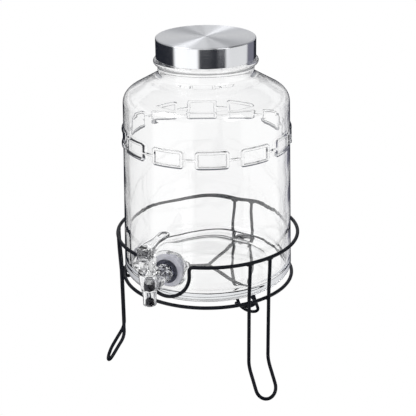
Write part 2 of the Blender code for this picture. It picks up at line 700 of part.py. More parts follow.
def valve_spring(material):
    """A coil round the stem, between the plug's floor and the bonnet."""
    low = PLUG_FLOOR_Z + SPRING_WIRE_R + GAP
    high = SPOUT_TOP_Z - 4.5 * MM - SPRING_WIRE_R - GAP
    per_turn = 14
    steps = SPRING_TURNS * per_turn
    path = []
    for i in range(steps + 1):
        angle = 360 * i / per_turn
        path.append(around(SPRING_R, angle, low + (high - low) * i / steps) + Vector((0, -SPOUT_Y, 0)))
    up = [Vector((0, 0, 1))] * len(path)
    return wire("valve_spring", path, up, material, radius=SPRING_WIRE_R, sides=6)


def lever_pin(material):
    """The cross pin that joins the lever to the stem, with its origin on the hinge's axis."""
    half = LEVER_HALF_WIDTH - 0.6 * MM
    obj = rod("lever_pin", (-half, -SPOUT_Y, PIN_Z), (half, -SPOUT_Y, PIN_Z), PIN_R, sides=12)
    obj.data.materials.append(material)
    return obj


def lever(material):
    """A round cam and a neck with a slot for the stem's head, under a flat paddle that points at the jar."""
    bm = bmesh.new()
    bmesh.ops.create_cone(
        bm,
        cap_ends=True,
        segments=28,
        radius1=CAM_R,
        radius2=CAM_R,
        depth=2 * LEVER_HALF_WIDTH,
        matrix=Matrix.Translation((0, -CAM_FORWARD, CAM_UP)) @ Matrix.Rotation(math.radians(90), 4, "Y"),
    )
    obj = mesh_object("lever", bm, material)
    neck_half = LEVER_HALF_WIDTH - 0.4 * MM
    neck = block("neck_tool", (-neck_half, -12.4 * MM, 2 * MM), (neck_half, 3.6 * MM, PADDLE_BASE + MM))
    boolean(obj, neck, "UNION")
    boolean(obj, paddle(), "UNION")
    boolean(obj, paddle_recess(), "DIFFERENCE")
    low = (-CHEEK_INSIDE, -20 * MM, -20 * MM)
    high = (CHEEK_INSIDE, 5.4 * MM, 5.4 * MM)
    boolean(obj, block("head_room_tool", low, high), "DIFFERENCE")
    reach = LEVER_HALF_WIDTH + MM
    boolean(obj, rod("lever_hole_tool", (-reach, 0, 0), (reach, 0, 0), PIN_R + PIN_RUNNING, 12), "DIFFERENCE")
    return obj


def paddle():
    """A waisted blade with a round tip and +Y along its length."""
    half_root = LEVER_HALF_WIDTH - 0.6 * MM
    left = [(-half_root + 2 * MM, -PADDLE_FRONT), (-half_root, 2 * MM - PADDLE_FRONT), (-half_root, 4 * MM)]
    left += [(-6.0 * MM, 10.0 * MM), (-PADDLE_WAIST, 14.5 * MM)]
    left += [(-PADDLE_WAIST, 20.0 * MM), (-PADDLE_R + 0.4 * MM, LEVER_LENGTH - 5.0 * MM)]
    tip = []
    for i in range(11):
        angle = math.radians(180 - 18 * i)
        tip.append((PADDLE_R * math.cos(angle), LEVER_LENGTH + PADDLE_R * math.sin(angle)))
    outline = left + tip + [(-x, y) for x, y in reversed(left)]
    bm = bmesh.new()
    face = bm.faces.new([bm.verts.new((x, y, PADDLE_BASE)) for x, y in outline])
    lifted = bmesh.ops.extrude_face_region(bm, geom=[face])
    for item in lifted["geom"]:
        if isinstance(item, bmesh.types.BMVert):
            item.co.z += PADDLE_THICK
    return mesh_object("paddle_tool", bm)


def paddle_recess():
    """The long thumb recess in the upper face of the blade's round end."""
    outline = []
    for i in range(17):
        angle = math.radians(-90 + 22.5 * i)
        shift = 0 if math.sin(angle) >= 0 else -RECESS_LENGTH
        outline.append((RECESS_R * math.cos(angle), LEVER_LENGTH + shift + RECESS_R * math.sin(angle)))
    bm = bmesh.new()
    floor = PADDLE_BASE + PADDLE_THICK - RECESS_DEPTH
    face = bm.faces.new([bm.verts.new((x, y, floor)) for x, y in outline[:-1]])
    lifted = bmesh.ops.extrude_face_region(bm, geom=[face])
    for item in lifted["geom"]:
        if isinstance(item, bmesh.types.BMVert):
            item.co.z += RECESS_DEPTH + 5 * MM
    return mesh_object("recess_tool", bm)


# Assembly


def build():
    clear_scene()
    paint = make_materials()
    pieces = [upper_ring(paint["black_wire"]), lower_ring(paint["black_wire"])]
    for name, angle in LEG_ANGLES.items():
        pieces.append(leg(name, angle, paint["black_wire"]))
        pieces.append(star_arm(name, angle, paint["black_wire"]))
    pieces.append(jar(paint["glass"]))
    pieces.append(lid_shell(paint["brushed_steel"]))
    pieces.append(lid_liner(paint["white_plastic"]))
    pieces.append(lid_seal(paint["silicone"]))

    front = PAD_FRONT + GAP
    back = PAD_BACK - GAP
    bore_r = SHANK_R + GAP
    pieces.append(tap_ring("outer_washer", bore_r, WASHER_R, front, front + FRONT_WASHER, paint["silicone"]))
    pieces.append(tap_ring("inner_washer", bore_r, FLANGE_R, back - BACK_WASHER, back, paint["silicone"]))
    pieces.append(tap_nut(paint["clear_plastic"]))
    pieces.append(tap_body(paint["clear_plastic"]))
    pieces.append(tap_bonnet(paint["clear_plastic"]))
    pieces.append(stem_o_ring(paint["black_rubber"]))
    pieces.append(valve_stem(paint["white_plastic"]))
    pieces.append(valve_plug(paint["black_rubber"]))
    pieces.append(valve_spring(paint["spring_steel"]))
    pieces.append(lever_pin(paint["spring_steel"]))

    # The lever's origin is on its pin, so its helpers ride with it.
    handle = lever(paint["clear_plastic"])
    handle.location = (0, -SPOUT_Y, PIN_Z)
    for modifier in handle.modifiers:
        modifier.object.parent = handle
    pieces.append(handle)

    frame = bpy.data.objects.new("footprint_centre", None)
    bpy.context.collection.objects.link(frame)
    frame.location = (0, AXIS_Y, 0)
    for obj in list(bpy.context.collection.objects):
        if obj != frame and obj.parent is None:
            obj.parent = frame
    return pieces


build()
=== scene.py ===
"""Looks of the glass beverage dispenser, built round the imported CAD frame.

Units are metres and +Z is up. Shapes are modelled about the jar's axis and then moved to it, with the tap
on the -Y side. Lengths come from the frame's boxes or from the sizes named here.
"""

import math

import bmesh
import bpy
import numpy as np
from mathutils import Matrix, Vector


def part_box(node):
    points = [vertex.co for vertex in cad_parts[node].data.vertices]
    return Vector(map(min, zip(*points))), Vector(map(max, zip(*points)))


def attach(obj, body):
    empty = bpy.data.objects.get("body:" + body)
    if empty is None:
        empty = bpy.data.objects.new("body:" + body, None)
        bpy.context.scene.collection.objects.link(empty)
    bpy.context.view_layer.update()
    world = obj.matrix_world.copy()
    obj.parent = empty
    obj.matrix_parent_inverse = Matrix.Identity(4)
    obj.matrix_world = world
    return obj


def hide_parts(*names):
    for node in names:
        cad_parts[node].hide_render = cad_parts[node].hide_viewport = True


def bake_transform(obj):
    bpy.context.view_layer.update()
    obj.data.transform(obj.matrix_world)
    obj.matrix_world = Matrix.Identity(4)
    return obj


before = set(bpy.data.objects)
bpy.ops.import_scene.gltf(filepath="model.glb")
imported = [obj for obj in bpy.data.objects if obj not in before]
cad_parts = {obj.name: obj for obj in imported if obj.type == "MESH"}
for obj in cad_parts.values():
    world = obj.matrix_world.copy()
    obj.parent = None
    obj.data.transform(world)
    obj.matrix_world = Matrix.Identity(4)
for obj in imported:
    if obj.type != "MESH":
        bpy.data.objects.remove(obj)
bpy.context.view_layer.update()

MM = 0.001
TINY = 1e-7


def node_box(name):
    return [Vector(corner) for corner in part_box(name)]


# Driving sizes, read from the frame

lid_low, lid_high = node_box("lid_shell")
jar_low, jar_high = node_box("jar")
body_low = node_box("tap_body")[0]
bonnet_low, bonnet_high = node_box("tap_bonnet")
washer_low, washer_high = node_box("outer_washer")
pin_low, pin_high = node_box("lever_pin")
ring_high = node_box("upper_ring")[1]
hoop_low, hoop_high = node_box("lower_ring")

AXIS_Y = (lid_low.y + lid_high.y) / 2
AXIS = Vector((0, AXIS_Y, 0))
JAR_BASE_Z = jar_low.z
LIP_Z = jar_high.z
TAP_Z = (washer_low.z + washer_high.z) / 2
SPOUT_Y = AXIS_Y - (bonnet_low.y + bonnet_high.y) / 2
PIN_Z = (pin_low.z + pin_high.z) / 2

WIRE_R = 2.0 * MM
CAD_WIRE_HALF_HEIGHT = 1.848 * MM
UPPER_RING_R = 103.5 * MM
UPPER_RING_Z = ring_high.z - CAD_WIRE_HALF_HEIGHT
LOWER_RING_R = 97.5 * MM
LOWER_RING_Z = (hoop_low.z + hoop_high.z) / 2


# Materials


class Tree:
    """A node tree, with short ways to add nodes and feed their inputs."""

    def __init__(self, owner):
        owner.use_nodes = True
        self.nodes = owner.node_tree.nodes
        self.links = owner.node_tree.links

    def feed(self, socket, value):
        """Links another node's output, or sets a number, vector or colour."""
        if isinstance(value, bpy.types.NodeSocket):
            self.links.new(value, socket)
        elif socket.type == "RGBA":
            socket.default_value = (*value, 1)
        else:
            socket.default_value = value

    def add(self, kind, output, inputs=(), **settings):
        """Adds a node with its inputs fed, and gives back one of its outputs."""
        made = self.nodes.new("ShaderNode" + kind)
        for key, value in settings.items():
            setattr(made, key, value)
        for name, value in dict(inputs).items():
            self.feed(made.inputs[name], value)
        return made.outputs[output]

    def calc(self, operation, first, second=0.0):
        return self.add("Math", "Value", {0: first, 1: second}, operation=operation)

    def times(self, first, second):
        return self.calc("MULTIPLY", first, second)

    def larger(self, first, second):
        return self.calc("MAXIMUM", first, second)

    def axes(self, vector):
        return self.add("SeparateXYZ", "X", {"Vector": vector}).node.outputs

    def spread(self, source, low, high, start=0.3, end=0.7, **settings):
        """Maps start to end of a pattern to low to high."""
        limits = {"From Min": start, "From Max": end, "To Min": low, "To Max": high}
        return self.add("MapRange", "Result", {"Value": source, **limits}, **settings)

    def rises(self, source, start, end):
        return self.spread(source, 0.0, 1.0, start, end)

    def falls(self, source, start, end):
        return self.spread(source, 1.0, 0.0, start, end)

    def ramp(self, source, stops):
        """Colours along a pattern. Stops are (position, colour)."""
        colour = self.add("ValToRGB", "Color", {"Fac": source})
        elements = colour.node.color_ramp.elements
        elements.remove(elements[-1])
        for i, (position, value) in enumerate(stops):
            element = elements.new(position) if i else elements[0]
            element.position = position
            element.color = (*value, 1)
        return colour


class Paint(Tree):
    """A Principled material with short helpers for its patterns."""

    def __init__(self, name, colour, roughness, **values):
        self.material = bpy.data.materials.new(name)
        super().__init__(self.material)
        self.shader = self.nodes["Principled BSDF"]
        self.set(Base_Color=colour, Roughness=roughness, **values)

    def set(self, **values):
        for name, value in values.items():
            self.feed(self.shader.inputs[name.replace("_", " ")], value)

    def surface(self, kind):
        """The surface's own "Object" place, or its "Normal"."""
        return self.add("TexCoord", kind)

    def from_axis(self):
        """The level vector out from the jar's axis, its length, and the height."""
        x, y, z = self.axes(self.surface("Object"))
        level = self.add("CombineXYZ", "Vector", {"X": x, "Y": y})
        return level, self.add("VectorMath", "Value", {0: level}, operation="LENGTH"), z

    def noise(self, scale, detail=2.0, rough=0.5, stretch=(1, 1, 1)):
        place = self.add("Mapping", "Vector", {"Vector": self.surface("Object"), "Scale": stretch})
        settings = {"Scale": scale, "Detail": detail, "Roughness": rough}
        return self.add("TexNoise", "Fac", {"Vector": place, **settings})

    def line_noise(self, along, scale, detail):
        """Noise that varies along one number only."""
        inputs = {"W": along, "Scale": scale, "Detail": detail}
        return self.add("TexNoise", "Fac", inputs, noise_dimensions="1D")

    def painted_rim_shade(self, start, end):
        """Rises to 1 where clear material is seen edge-on, as it darkens there; the clear materials paint
        their colour dark by it, as painted shade.
        """
        return self.rises(self.add("LayerWeight", "Facing", {"Blend": 0.5}), start, end)

    def roughness(self, source, low, high):
        self.set(Roughness=self.spread(source, low, high))

    def colours(self, source, first, second, start=0.35, end=0.65):
        self.set(Base_Color=self.ramp(source, [(start, first), (end, second)]))

    def bump(self, height, distance, strength):
        inputs = {"Height": height, "Distance": distance, "Strength": strength}
        self.set(Normal=self.add("Bump", "Normal", inputs))

    def lets_lamps_through(self, tint, turns):
        """Clear for shadow rays, so that what stands behind or inside the glass is lit. Also clear for light
        that has been turned back inside the glass more than so many times, which would never get out."""
        path = self.add("LightPath", "Is Shadow Ray").node.outputs
        trapped = self.calc("GREATER_THAN", path["Glossy Depth"], turns + 0.5)
        amount = self.larger(trapped, path["Is Shadow Ray"])
        clear = self.add("BsdfTransparent", "BSDF", {"Color": tint})
        inputs = {"Fac": amount, 1: self.shader.outputs["BSDF"], 2: clear}
        mixed = self.add("MixShader", "Shader", inputs)
        self.links.new(mixed, self.nodes["Material Output"].inputs["Surface"])


def grained(name, colour, roughness, tones, gloss, grain, **values):
    """A material whose colour and gloss vary finely, with a little bump. tones is (noise scale, dark, light),
    gloss is (noise scale, low, high), and grain is (noise scale, detail, depth, strength)."""
    paint = Paint(name, colour, roughness, **values)
    if tones:
        paint.colours(paint.noise(tones[0]), *tones[1:])
    paint.roughness(paint.noise(gloss[0]), *gloss[1:])
    paint.bump(paint.noise(*grain[:2]), *grain[2:])
    return paint.material


def chain_edge_shade(paint):
    """1 on the steep sides of the chain's links and bars and along the links' lower edges, 0 elsewhere. The
    jar's glass is painted dark there, as painted shade for the dark edges that refraction shows.
    """
    level, reach, z = paint.from_axis()
    unit = paint.add("VectorMath", "Vector", {0: level}, operation="NORMALIZE")
    inputs = {0: unit, 1: paint.surface("Normal")}
    along = paint.add("VectorMath", "Value", inputs, operation="DOT_PRODUCT")
    steep = paint.falls(along, 0.60, 0.93)
    outer = paint.rises(along, 0.0, 0.05)
    above = paint.rises(z, LINK_Z - 12 * MM, LINK_Z - 11 * MM)
    below = paint.falls(z, LINK_Z + 11 * MM, LINK_Z + 12 * MM)
    sides = paint.times(paint.times(steep, outer), paint.times(above, below))
    wall = body_radius(LINK_Z)
    proud = paint.rises(reach, wall + 0.5 * MM, wall + 0.9 * MM)
    low = paint.falls(z, LINK_Z - 8.1 * MM, LINK_Z - 7.7 * MM)
    return paint.larger(sides, paint.times(proud, paint.times(low, above)))


def lever_edge_shade(paint):
    """Above 0 on the upright sides of the lever's paddle and neck, where the lever's clear plastic is painted
    dark, as painted shade.
    """
    upright = paint.calc("ABSOLUTE", paint.axes(paint.surface("Normal"))["Z"])
    steep = paint.spread(upright, 0.85, 0.0, 0.35, 0.75)
    height = paint.axes(paint.surface("Object"))["Z"]
    return paint.times(steep, paint.rises(height, PIN_Z + 8 * MM, PIN_Z + 10 * MM))


def shank_ring_shade(paint):
    """1 on a narrow ring round the tap's shank, next to the washer, where the tap's clear plastic is painted
    dark, as painted shade.
    """
    depth = paint.axes(paint.surface("Object"))["Y"]
    rear = -(PAD_FRONT + 3.4 * MM)
    behind = paint.rises(depth, rear - 4.0 * MM, rear - 3.6 * MM)
    return paint.times(behind, paint.falls(depth, rear, rear + 0.4 * MM))


def jar_glass():
    clear = (0.995, 0.996, 0.997)
    paint = Paint("jar_glass", clear, 0.0, Transmission_Weight=1.0, IOR=1.5)
    paint.roughness(paint.noise(90), 0.0, 0.006)
    paint.bump(paint.noise(34, 1, 0.4, (1, 1, 0.45)), 1 * MM, 0.2)
    paint.lets_lamps_through((0.95, 0.955, 0.96), 2)
    # Painted shade: the glass's colour goes almost black on the chain's edges and where the glass is seen
    # edge-on, for the dark edges that refraction shows.
    shade = paint.larger(chain_edge_shade(paint), paint.painted_rim_shade(0.76, 0.95))
    paint.colours(shade, clear, (0.02, 0.022, 0.03), 0.0, 1.0)
    return paint.material


def clear_plastic(name, shade=None):
    clear = (0.985, 0.988, 0.992)
    paint = Paint(name, clear, 0.01, Transmission_Weight=1.0, IOR=1.49, Specular_Tint=(0.30, 0.30, 0.34))
    paint.roughness(paint.noise(500), 0.0, 0.02)
    paint.bump(paint.noise(160, 1), 0.2 * MM, 0.1)
    paint.lets_lamps_through((0.90, 0.905, 0.91), 12)
    # Painted shade: the plastic's colour goes almost black where it is seen edge-on and on the shade mask
    # given, for the dark edges that refraction shows.
    amount = paint.painted_rim_shade(0.60, 0.92)
    if shade:
        amount = paint.larger(amount, shade(paint))
    paint.colours(amount, clear, (0.012, 0.013, 0.02), 0.0, 1.0)
    return paint.material


def lid_steel():
    """Steel brushed in circles: sharp on the skirt and softer on the top."""
    steel = {"Metallic": 1.0, "Anisotropic": 0.95, "Anisotropic_Rotation": 0.25}
    paint = Paint("brushed_steel", (0.60, 0.61, 0.63), 0.27, **steel)
    paint.set(Tangent=paint.add("Tangent", "Tangent", direction_type="RADIAL", axis="Z"))
    _, distance, height = paint.from_axis()
    along = paint.calc("ADD", distance, height)
    fine, broad = paint.line_noise(along, 5200, 3), paint.line_noise(along, 900, 2)
    on_top = paint.rises(height, LID_TOP_Z - 1.6 * MM, LID_TOP_Z - 0.2 * MM)
    skirt, top = paint.spread(broad, 0.17, 0.20), paint.spread(broad, 0.42, 0.48)
    paint.set(Roughness=paint.add("Mix", 0, {"Factor": on_top, 2: skirt, 3: top}))
    paint.colours(fine, (0.70, 0.71, 0.73), (0.76, 0.77, 0.79))
    paint.bump(fine, 0.002 * MM, 0.2)
    return paint.material


# Colour, roughness, tones, gloss and grain of the plain finishes
PLAIN = {
    "powder_coat": (
        (0.006, 0.007, 0.011), 0.4, (420, (0.005, 0.006, 0.010), (0.009, 0.010, 0.015)),
        (900, 0.34, 0.46), (700, 2, 0.02 * MM, 0.2),
    ),
    "white_plastic": (
        (0.83, 0.83, 0.82), 0.38, (60, (0.80, 0.80, 0.79), (0.86, 0.86, 0.85)),
        (700, 0.32, 0.46), (1500, 2, 0.1 * MM, 0.3),
    ),
    "silicone": (
        (0.74, 0.74, 0.80), 0.45, (120, (0.70, 0.70, 0.77), (0.79, 0.79, 0.84)),
        (800, 0.36, 0.55), (1300, 2, 0.1 * MM, 0.35),
    ),
    "black_rubber": (
        (0.006, 0.006, 0.008), 0.6, (500, (0.004, 0.004, 0.006), (0.009, 0.009, 0.011)),
        (900, 0.5, 0.7), (1500, 2, 0.1 * MM, 0.4),
    ),
    "spring_steel": ((0.62, 0.62, 0.63), 0.22, None, (1200, 0.16, 0.32), (2500, 1, 0.05 * MM, 0.3)),
}


def plain(name, **values):
    return grained(name, *PLAIN[name], **values)


def all_looks():
    """Each material by name, with the slot that it belongs to."""
    bleed = (2 * MM, 2 * MM, 2 * MM)
    return {
        "powder_coat": (plain("powder_coat", Specular_IOR_Level=0.12), "black_wire"),
        "jar_glass": (jar_glass(), "glass"),
        "brushed_steel": (lid_steel(), "brushed_steel"),
        "white_plastic": (
            plain("white_plastic", IOR=1.46, Subsurface_Weight=0.08, Subsurface_Radius=bleed),
            "white_plastic",
        ),
        "silicone": (plain("silicone", Transmission_Weight=0.35, IOR=1.41), "silicone"),
        "clear_plastic": (clear_plastic("clear_plastic"), "clear_plastic"),
        # tap_plastic and lever_plastic paint shade into the clear colour on their masks.
        "tap_plastic": (clear_plastic("tap_plastic", shank_ring_shade), "clear_plastic"),
        "lever_plastic": (clear_plastic("lever_plastic", lever_edge_shade), "clear_plastic"),
        "black_rubber": (plain("black_rubber", Specular_IOR_Level=0.15), "black_rubber"),
        "spring_steel": (plain("spring_steel", Metallic=1.0), "spring_steel"),
    }


# Mesh helpers


def around(radius, degrees, height):
    """A point at an angle from the tap's side, turning towards +X."""
    a = math.radians(degrees)
    return Vector((radius * math.sin(a), -radius * math.cos(a), height))


def outward(degrees):
    return around(1.0, degrees, 0.0)


def beside(radius, height, *steps):
    """Profile points at steps of (outwards, up) millimetres from a radius and a height."""
    return [(radius + r * MM, height + z * MM) for r, z in steps]


def cylinder(radius, low, high):
    return [(0, low), (radius, low), (radius, high), (0, high)]


def arc(centre, radius, start, end, steps):
    points = []
    for i in range(steps + 1):
        a = math.radians(start + (end - start) * i / steps)
        points.append((centre[0] + radius * math.cos(a), centre[1] + radius * math.sin(a)))
    return points


def mesh_of(bm, name):
    bmesh.ops.recalc_face_normals(bm, faces=bm.faces)
    mesh = bpy.data.meshes.new(name)
    bm.to_mesh(mesh)
    bm.free()
    return mesh


def add_object(name, data, place=AXIS):
    obj = bpy.data.objects.new(name, data)
    bpy.context.scene.collection.objects.link(obj)
    obj.location = place
    return obj


def piece(name, shape, look, body, nodes=(), sharp=40):
    """Finishes a bmesh or mesh as a piece that rides on a body and stands for some CAD nodes."""
    mesh = shape if isinstance(shape, bpy.types.Mesh) else mesh_of(shape, name)
    material, slot = LOOKS[look]
    mesh.materials.clear()
    mesh.materials.append(material)
    mesh.shade_smooth()
    if sharp is not None:
        mesh.set_sharp_from_angle(angle=math.radians(sharp))
    obj = add_object(name, mesh)
    if body:
        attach(obj, body)
    if nodes:
        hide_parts(*nodes)
    return obj


def bridge(bm, rings, closed=False, capped=False):
    """Faces between neighbouring rings. A ring of one vertex makes a fan."""
    pairs = list(zip(rings, rings[1:]))
    if closed:
        pairs.append((rings[-1], rings[0]))
    for lower, upper in pairs:
        count = max(len(lower), len(upper))
        for i in range(count):
            a, b = i % len(lower), (i + 1) % count % len(lower)
            c, d = (i + 1) % count % len(upper), i % len(upper)
            bm.faces.new(list(dict.fromkeys([lower[a], lower[b], upper[c], upper[d]])))
    if capped:
        bm.faces.new(list(reversed(rings[0])))
        bm.faces.new(rings[-1])


def turned(bm, profile, sides, closed=False, matrix=None):
    """Turns a (radius, height) profile round Z. An open profile starts and ends on the axis."""
    rings = []
    for radius, height in profile:
        if radius < TINY:
            rings.append([bm.verts.new((0, 0, height))])
        else:
            rings.append([bm.verts.new(around(radius, 360 * i / sides, height)) for i in range(sides)])
    bridge(bm, rings, closed)
    if matrix is not None:
        bmesh.ops.transform(bm, matrix=matrix, verts=[v for ring in rings for v in ring])


def turned_piece(name, profile, sides, look, body, nodes, sharp=40, closed=True, matrix=None):
    bm = bmesh.new()
    turned(bm, profile, sides, closed, matrix)
    piece(name, bm, look, body, nodes, sharp)


def solid(name, profile, sides, matrix):
    bm = bmesh.new()
    turned(bm, profile, sides, matrix=matrix)
    return add_object(name, mesh_of(bm, name))


def apply_modifiers(obj):
    bpy.context.view_layer.update()
    evaluated = obj.evaluated_get(bpy.context.evaluated_depsgraph_get())
    mesh = bpy.data.meshes.new_from_object(evaluated)
    obj.modifiers.clear()
    old = obj.data
    obj.data = mesh
    bpy.data.meshes.remove(old)
    mesh.name = obj.name


def boolean(base, tool, operation):
    """Adds or cuts a tool, and removes it."""
    step = base.modifiers.new(tool.name, "BOOLEAN")
    step.operation = operation
    step.solver = "EXACT"
    step.object = tool
    apply_modifiers(base)
    bpy.data.objects.remove(tool)


def combine(base, tools):
    """Adds or cuts each (object, operation) in turn, and gives back the mesh."""
    for tool, operation in tools:
        boolean(base, tool, operation)
    mesh = base.data.copy()
    bpy.data.objects.remove(base)
    return mesh


def rounded(profile, radius, steps=4):
    """Rounds the inner corners of an open profile with small arcs."""
    least_bend = math.radians(12)
    points = [Vector((*p, 0)) for p in profile]
    out = [points[0]]
    for before, here, after in zip(points, points[1:], points[2:]):
        a, b = before - here, after - here
        bend = 0.0 if min(a.length, b.length) < 1e-9 else math.pi - a.angle(b)
        if bend < least_bend:
            out.append(here)
            continue
        reach = min(radius * math.tan(bend / 2), a.length * 0.45, b.length * 0.45)
        start, end = here + a.normalized() * reach, here + b.normalized() * reach
        for i in range(steps + 1):
            t = i / steps
            out.append(start * (1 - t) ** 2 + here * 2 * t * (1 - t) + end * t**2)
    out.append(points[-1])
    return [(p.x, p.y) for p in out]


def smooth_path(points, cyclic, step):
    """A Catmull-Rom curve through the points, with one point each step or so."""
    count = len(points)
    out = []
    for i in range(count if cyclic else count - 1):
        if cyclic:
            p0, p1, p2, p3 = (points[(i + k - 1) % count] for k in range(4))
        else:
            p1, p2 = points[i], points[i + 1]
            p0 = points[i - 1] if i > 0 else p1 * 2 - p2
            p3 = points[i + 2] if i + 2 < count else p2 * 2 - p1
        pieces = max(1, round((p2 - p1).length / step))
        d1, d2, d3 = (max((b - a).length, 1e-9) ** 0.5 for a, b in ((p0, p1), (p1, p2), (p2, p3)))
        m1 = (p2 - p1) + d2 * ((p1 - p0) / d1 - (p2 - p0) / (d1 + d2))
        m2 = (p2 - p1) + d2 * ((p3 - p2) / d3 - (p3 - p1) / (d2 + d3))
        for k in range(pieces):
            t = k / pieces
            t2, t3 = t * t, t * t * t
            ends = p1 * (2 * t3 - 3 * t2 + 1) + m1 * (t3 - 2 * t2 + t)
            out.append(ends + p2 * (3 * t2 - 2 * t3) + m2 * (t3 - t2))
    return out if cyclic else out + [points[-1]]


def carried_frames(path, cyclic):
    """The (point, direction, upward direction) all along a path, carried on without twisting."""
    count = len(path)
    last = (path[1] - path[-1 if cyclic else 0]).normalized()
    up = last.orthogonal().normalized()
    frames = []
    for i, point in enumerate(path):
        before = path[i - 1] if cyclic or i > 0 else point
        after = path[(i + 1) % count] if cyclic or i < count - 1 else point
        tangent = (after - before).normalized()
        up = last.rotation_difference(tangent) @ up
        up = (up - tangent * up.dot(tangent)).normalized()
        last = tangent
        frames.append((point, tangent, up.copy()))
    return frames


def tube(bm, path, radius, sides=18, cyclic=False):
    """A round wire along a path, with rounded ends."""
    frames = carried_frames(path, cyclic)
    twist = 0.0
    if cyclic:
        (_, first, first_up), (_, last, last_up) = frames[0], frames[-1]
        carried = last.rotation_difference(first) @ last_up
        twist = math.copysign(carried.angle(first_up), carried.cross(first_up).dot(first))

    def ring(point, tangent, up, scale=1.0, turn=0.0):
        side = tangent.cross(up)
        angles = [2 * math.pi * k / sides + turn for k in range(sides)]
        ways = [up * math.cos(a) + side * math.sin(a) for a in angles]
        return [bm.verts.new(point + way * radius * scale) for way in ways]

    rings = [ring(*at, turn=-twist * i / len(path)) for i, at in enumerate(frames)]
    bridge(bm, rings, cyclic)
    if cyclic:
        return
    for end, sign in ((0, -1), (-1, 1)):
        point, tangent, up = frames[end]
        stack = [rings[end]]
        for share, size in ((0.3, math.sqrt(0.91)), (0.55, math.sqrt(0.6975)), (0.72, 0.45)):
            stack.append(ring(point + tangent * sign * radius * share, tangent, up, size))
        bridge(bm, stack)
        bm.faces.new(stack[-1])


def weld(bm, middle, along, across, half_length, half_width, half_height, ripples=3):
    """A lump of weld: an uneven ellipsoid, longer along the joint, with a few ripples."""
    along = along.normalized()
    up = (across - along * across.dot(along)).normalized()
    side = along.cross(up)
    rows, columns = 9, 12
    rings = []
    for i in range(rows + 1):
        v = -1 + 2 * i / rows
        at = middle + along * half_length * v
        size = math.sqrt(max(0.0, 1 - v * v))
        if size < 1e-6:
            rings.append([bm.verts.new(at)])
            continue
        size *= 1 + 0.08 * math.cos(v * math.pi * ripples)
        ring = []
        for k in range(columns):
            a = 2 * math.pi * k / columns
            reach = size * (1 + 0.05 * math.sin(3 * a + 5 * v))
            round_ = up * math.cos(a) * half_height + side * math.sin(a) * half_width
            ring.append(bm.verts.new(at + round_ * reach))
        rings.append(ring)
    bridge(bm, rings)


# Stand: the same routes as the CAD's wires, as smooth round wire

NOTCH_HALF_WIDTH = 27.5 * MM
NOTCH_CORNER_R = 4.5 * MM
LEG_ANGLES = {"front_left": -60.0, "front_right": 60.0, "rear": 180.0}
LEG_HALF_WIDTH = 13.3 * MM
LEG_TOP_R = 102.6 * MM
LEG_BEND_R = 101.0 * MM
LEG_BEND_Z = 38.3 * MM
FOOT_R = 121.8 * MM
GROUND = WIRE_R + 0.05 * MM
STAR_WIRE_R = WIRE_R - 0.08 * MM
STAR_Z = LOWER_RING_Z + 0.3 * MM
STAR_HOOK_Z = LOWER_RING_Z - 4.0 * MM


def upper_ring_path():
    """Round the upper ring, with the notch that lets the tap through."""
    flat = []
    notch_z = UPPER_RING_Z - NOTCH_CORNER_R - 6.4 * MM
    notch_steps, corner_steps, ring_steps = 36, 9, 90
    for step in range(notch_steps + 1):
        a = math.radians(-90 + 90 * step / notch_steps)
        flat.append((NOTCH_HALF_WIDTH * math.cos(a), notch_z + NOTCH_HALF_WIDTH * math.sin(a)))
    flat += beside(NOTCH_HALF_WIDTH, notch_z, (0, 2), (0, 4))
    corner = (NOTCH_HALF_WIDTH + NOTCH_CORNER_R, UPPER_RING_Z - NOTCH_CORNER_R)
    flat += arc(corner, NOTCH_CORNER_R, 180, 90, corner_steps)
    start = math.degrees(flat[-1][0] / UPPER_RING_R)
    right = [(math.degrees(u / UPPER_RING_R), z) for u, z in flat]
    right += [(start + (180 - start) * i / ring_steps, UPPER_RING_Z) for i in range(1, ring_steps + 1)]
    left = [(-a, z) for a, z in reversed(right[1:-1])]
    return [around(UPPER_RING_R, a, z) for a, z in right + left]


def local_path(route, degrees):
    radial, tangential = outward(degrees), outward(degrees + 90)
    return [radial * r + tangential * t + Vector((0, 0, z)) for r, t, z in route]


def leg_route():
    """A hairpin leg as (outwards, sideways, up): down outside the lower ring, then splayed to the foot."""
    lower_r = math.sqrt((LOWER_RING_R + 4.3 * MM) ** 2 - LEG_HALF_WIDTH**2)
    slope = Vector((FOOT_R - LEG_BEND_R, GROUND - LEG_BEND_Z))
    shin = slope.length - LEG_HALF_WIDTH
    slope.normalize()
    side = beside(LEG_TOP_R, UPPER_RING_Z, (0, -1.2), (-0.3, -14))
    side += beside(lower_r, LOWER_RING_Z, (0.1, 10), (0, 0), (0, -10))
    side += beside(LEG_BEND_R, LEG_BEND_Z, (-0.1, 12), (0, 5), (0.8, 0.6), (2.6, -4.4))
    side.append((LEG_BEND_R + slope.x * shin * 0.6, LEG_BEND_Z + slope.y * shin * 0.6))
    down = [(r, LEG_HALF_WIDTH, z) for r, z in side]
    foot = []
    foot_steps = 18
    for i in range(foot_steps + 1):
        a = math.pi * i / foot_steps
        along = shin + LEG_HALF_WIDTH * math.sin(a)
        r, z = LEG_BEND_R + slope.x * along, LEG_BEND_Z + slope.y * along
        foot.append((r, LEG_HALF_WIDTH * math.cos(a), z))
    return down + foot + [(r, -t, z) for r, t, z in reversed(down)]


def star_route():
    """A star wire as (outwards, sideways, up): from the middle out, then hooked under the lower ring."""
    arm = [(0.6, 0.0, STAR_Z), (40.0, 0.3, STAR_Z), (84.0, 0.6, STAR_Z), (89.5, 1.4, STAR_Z - 1.9 * MM)]
    hook = [(93.6, 0.4), (96.2, -3.4), (96.9, -8.6), (95.4, -13.2), (91.6, -15.9), (87.0, -17.0)]
    hook.append((82.6, -17.6))
    return [(r * MM, t * MM, z) for r, t, z in arm + [(r, t, STAR_HOOK_Z) for r, t in hook]]


def wire_piece(name, path, node, radius=WIRE_R, cyclic=False):
    bm = bmesh.new()
    tube(bm, path, radius, cyclic=cyclic)
    piece(name, bm, "powder_coat", "stand", [node], None)


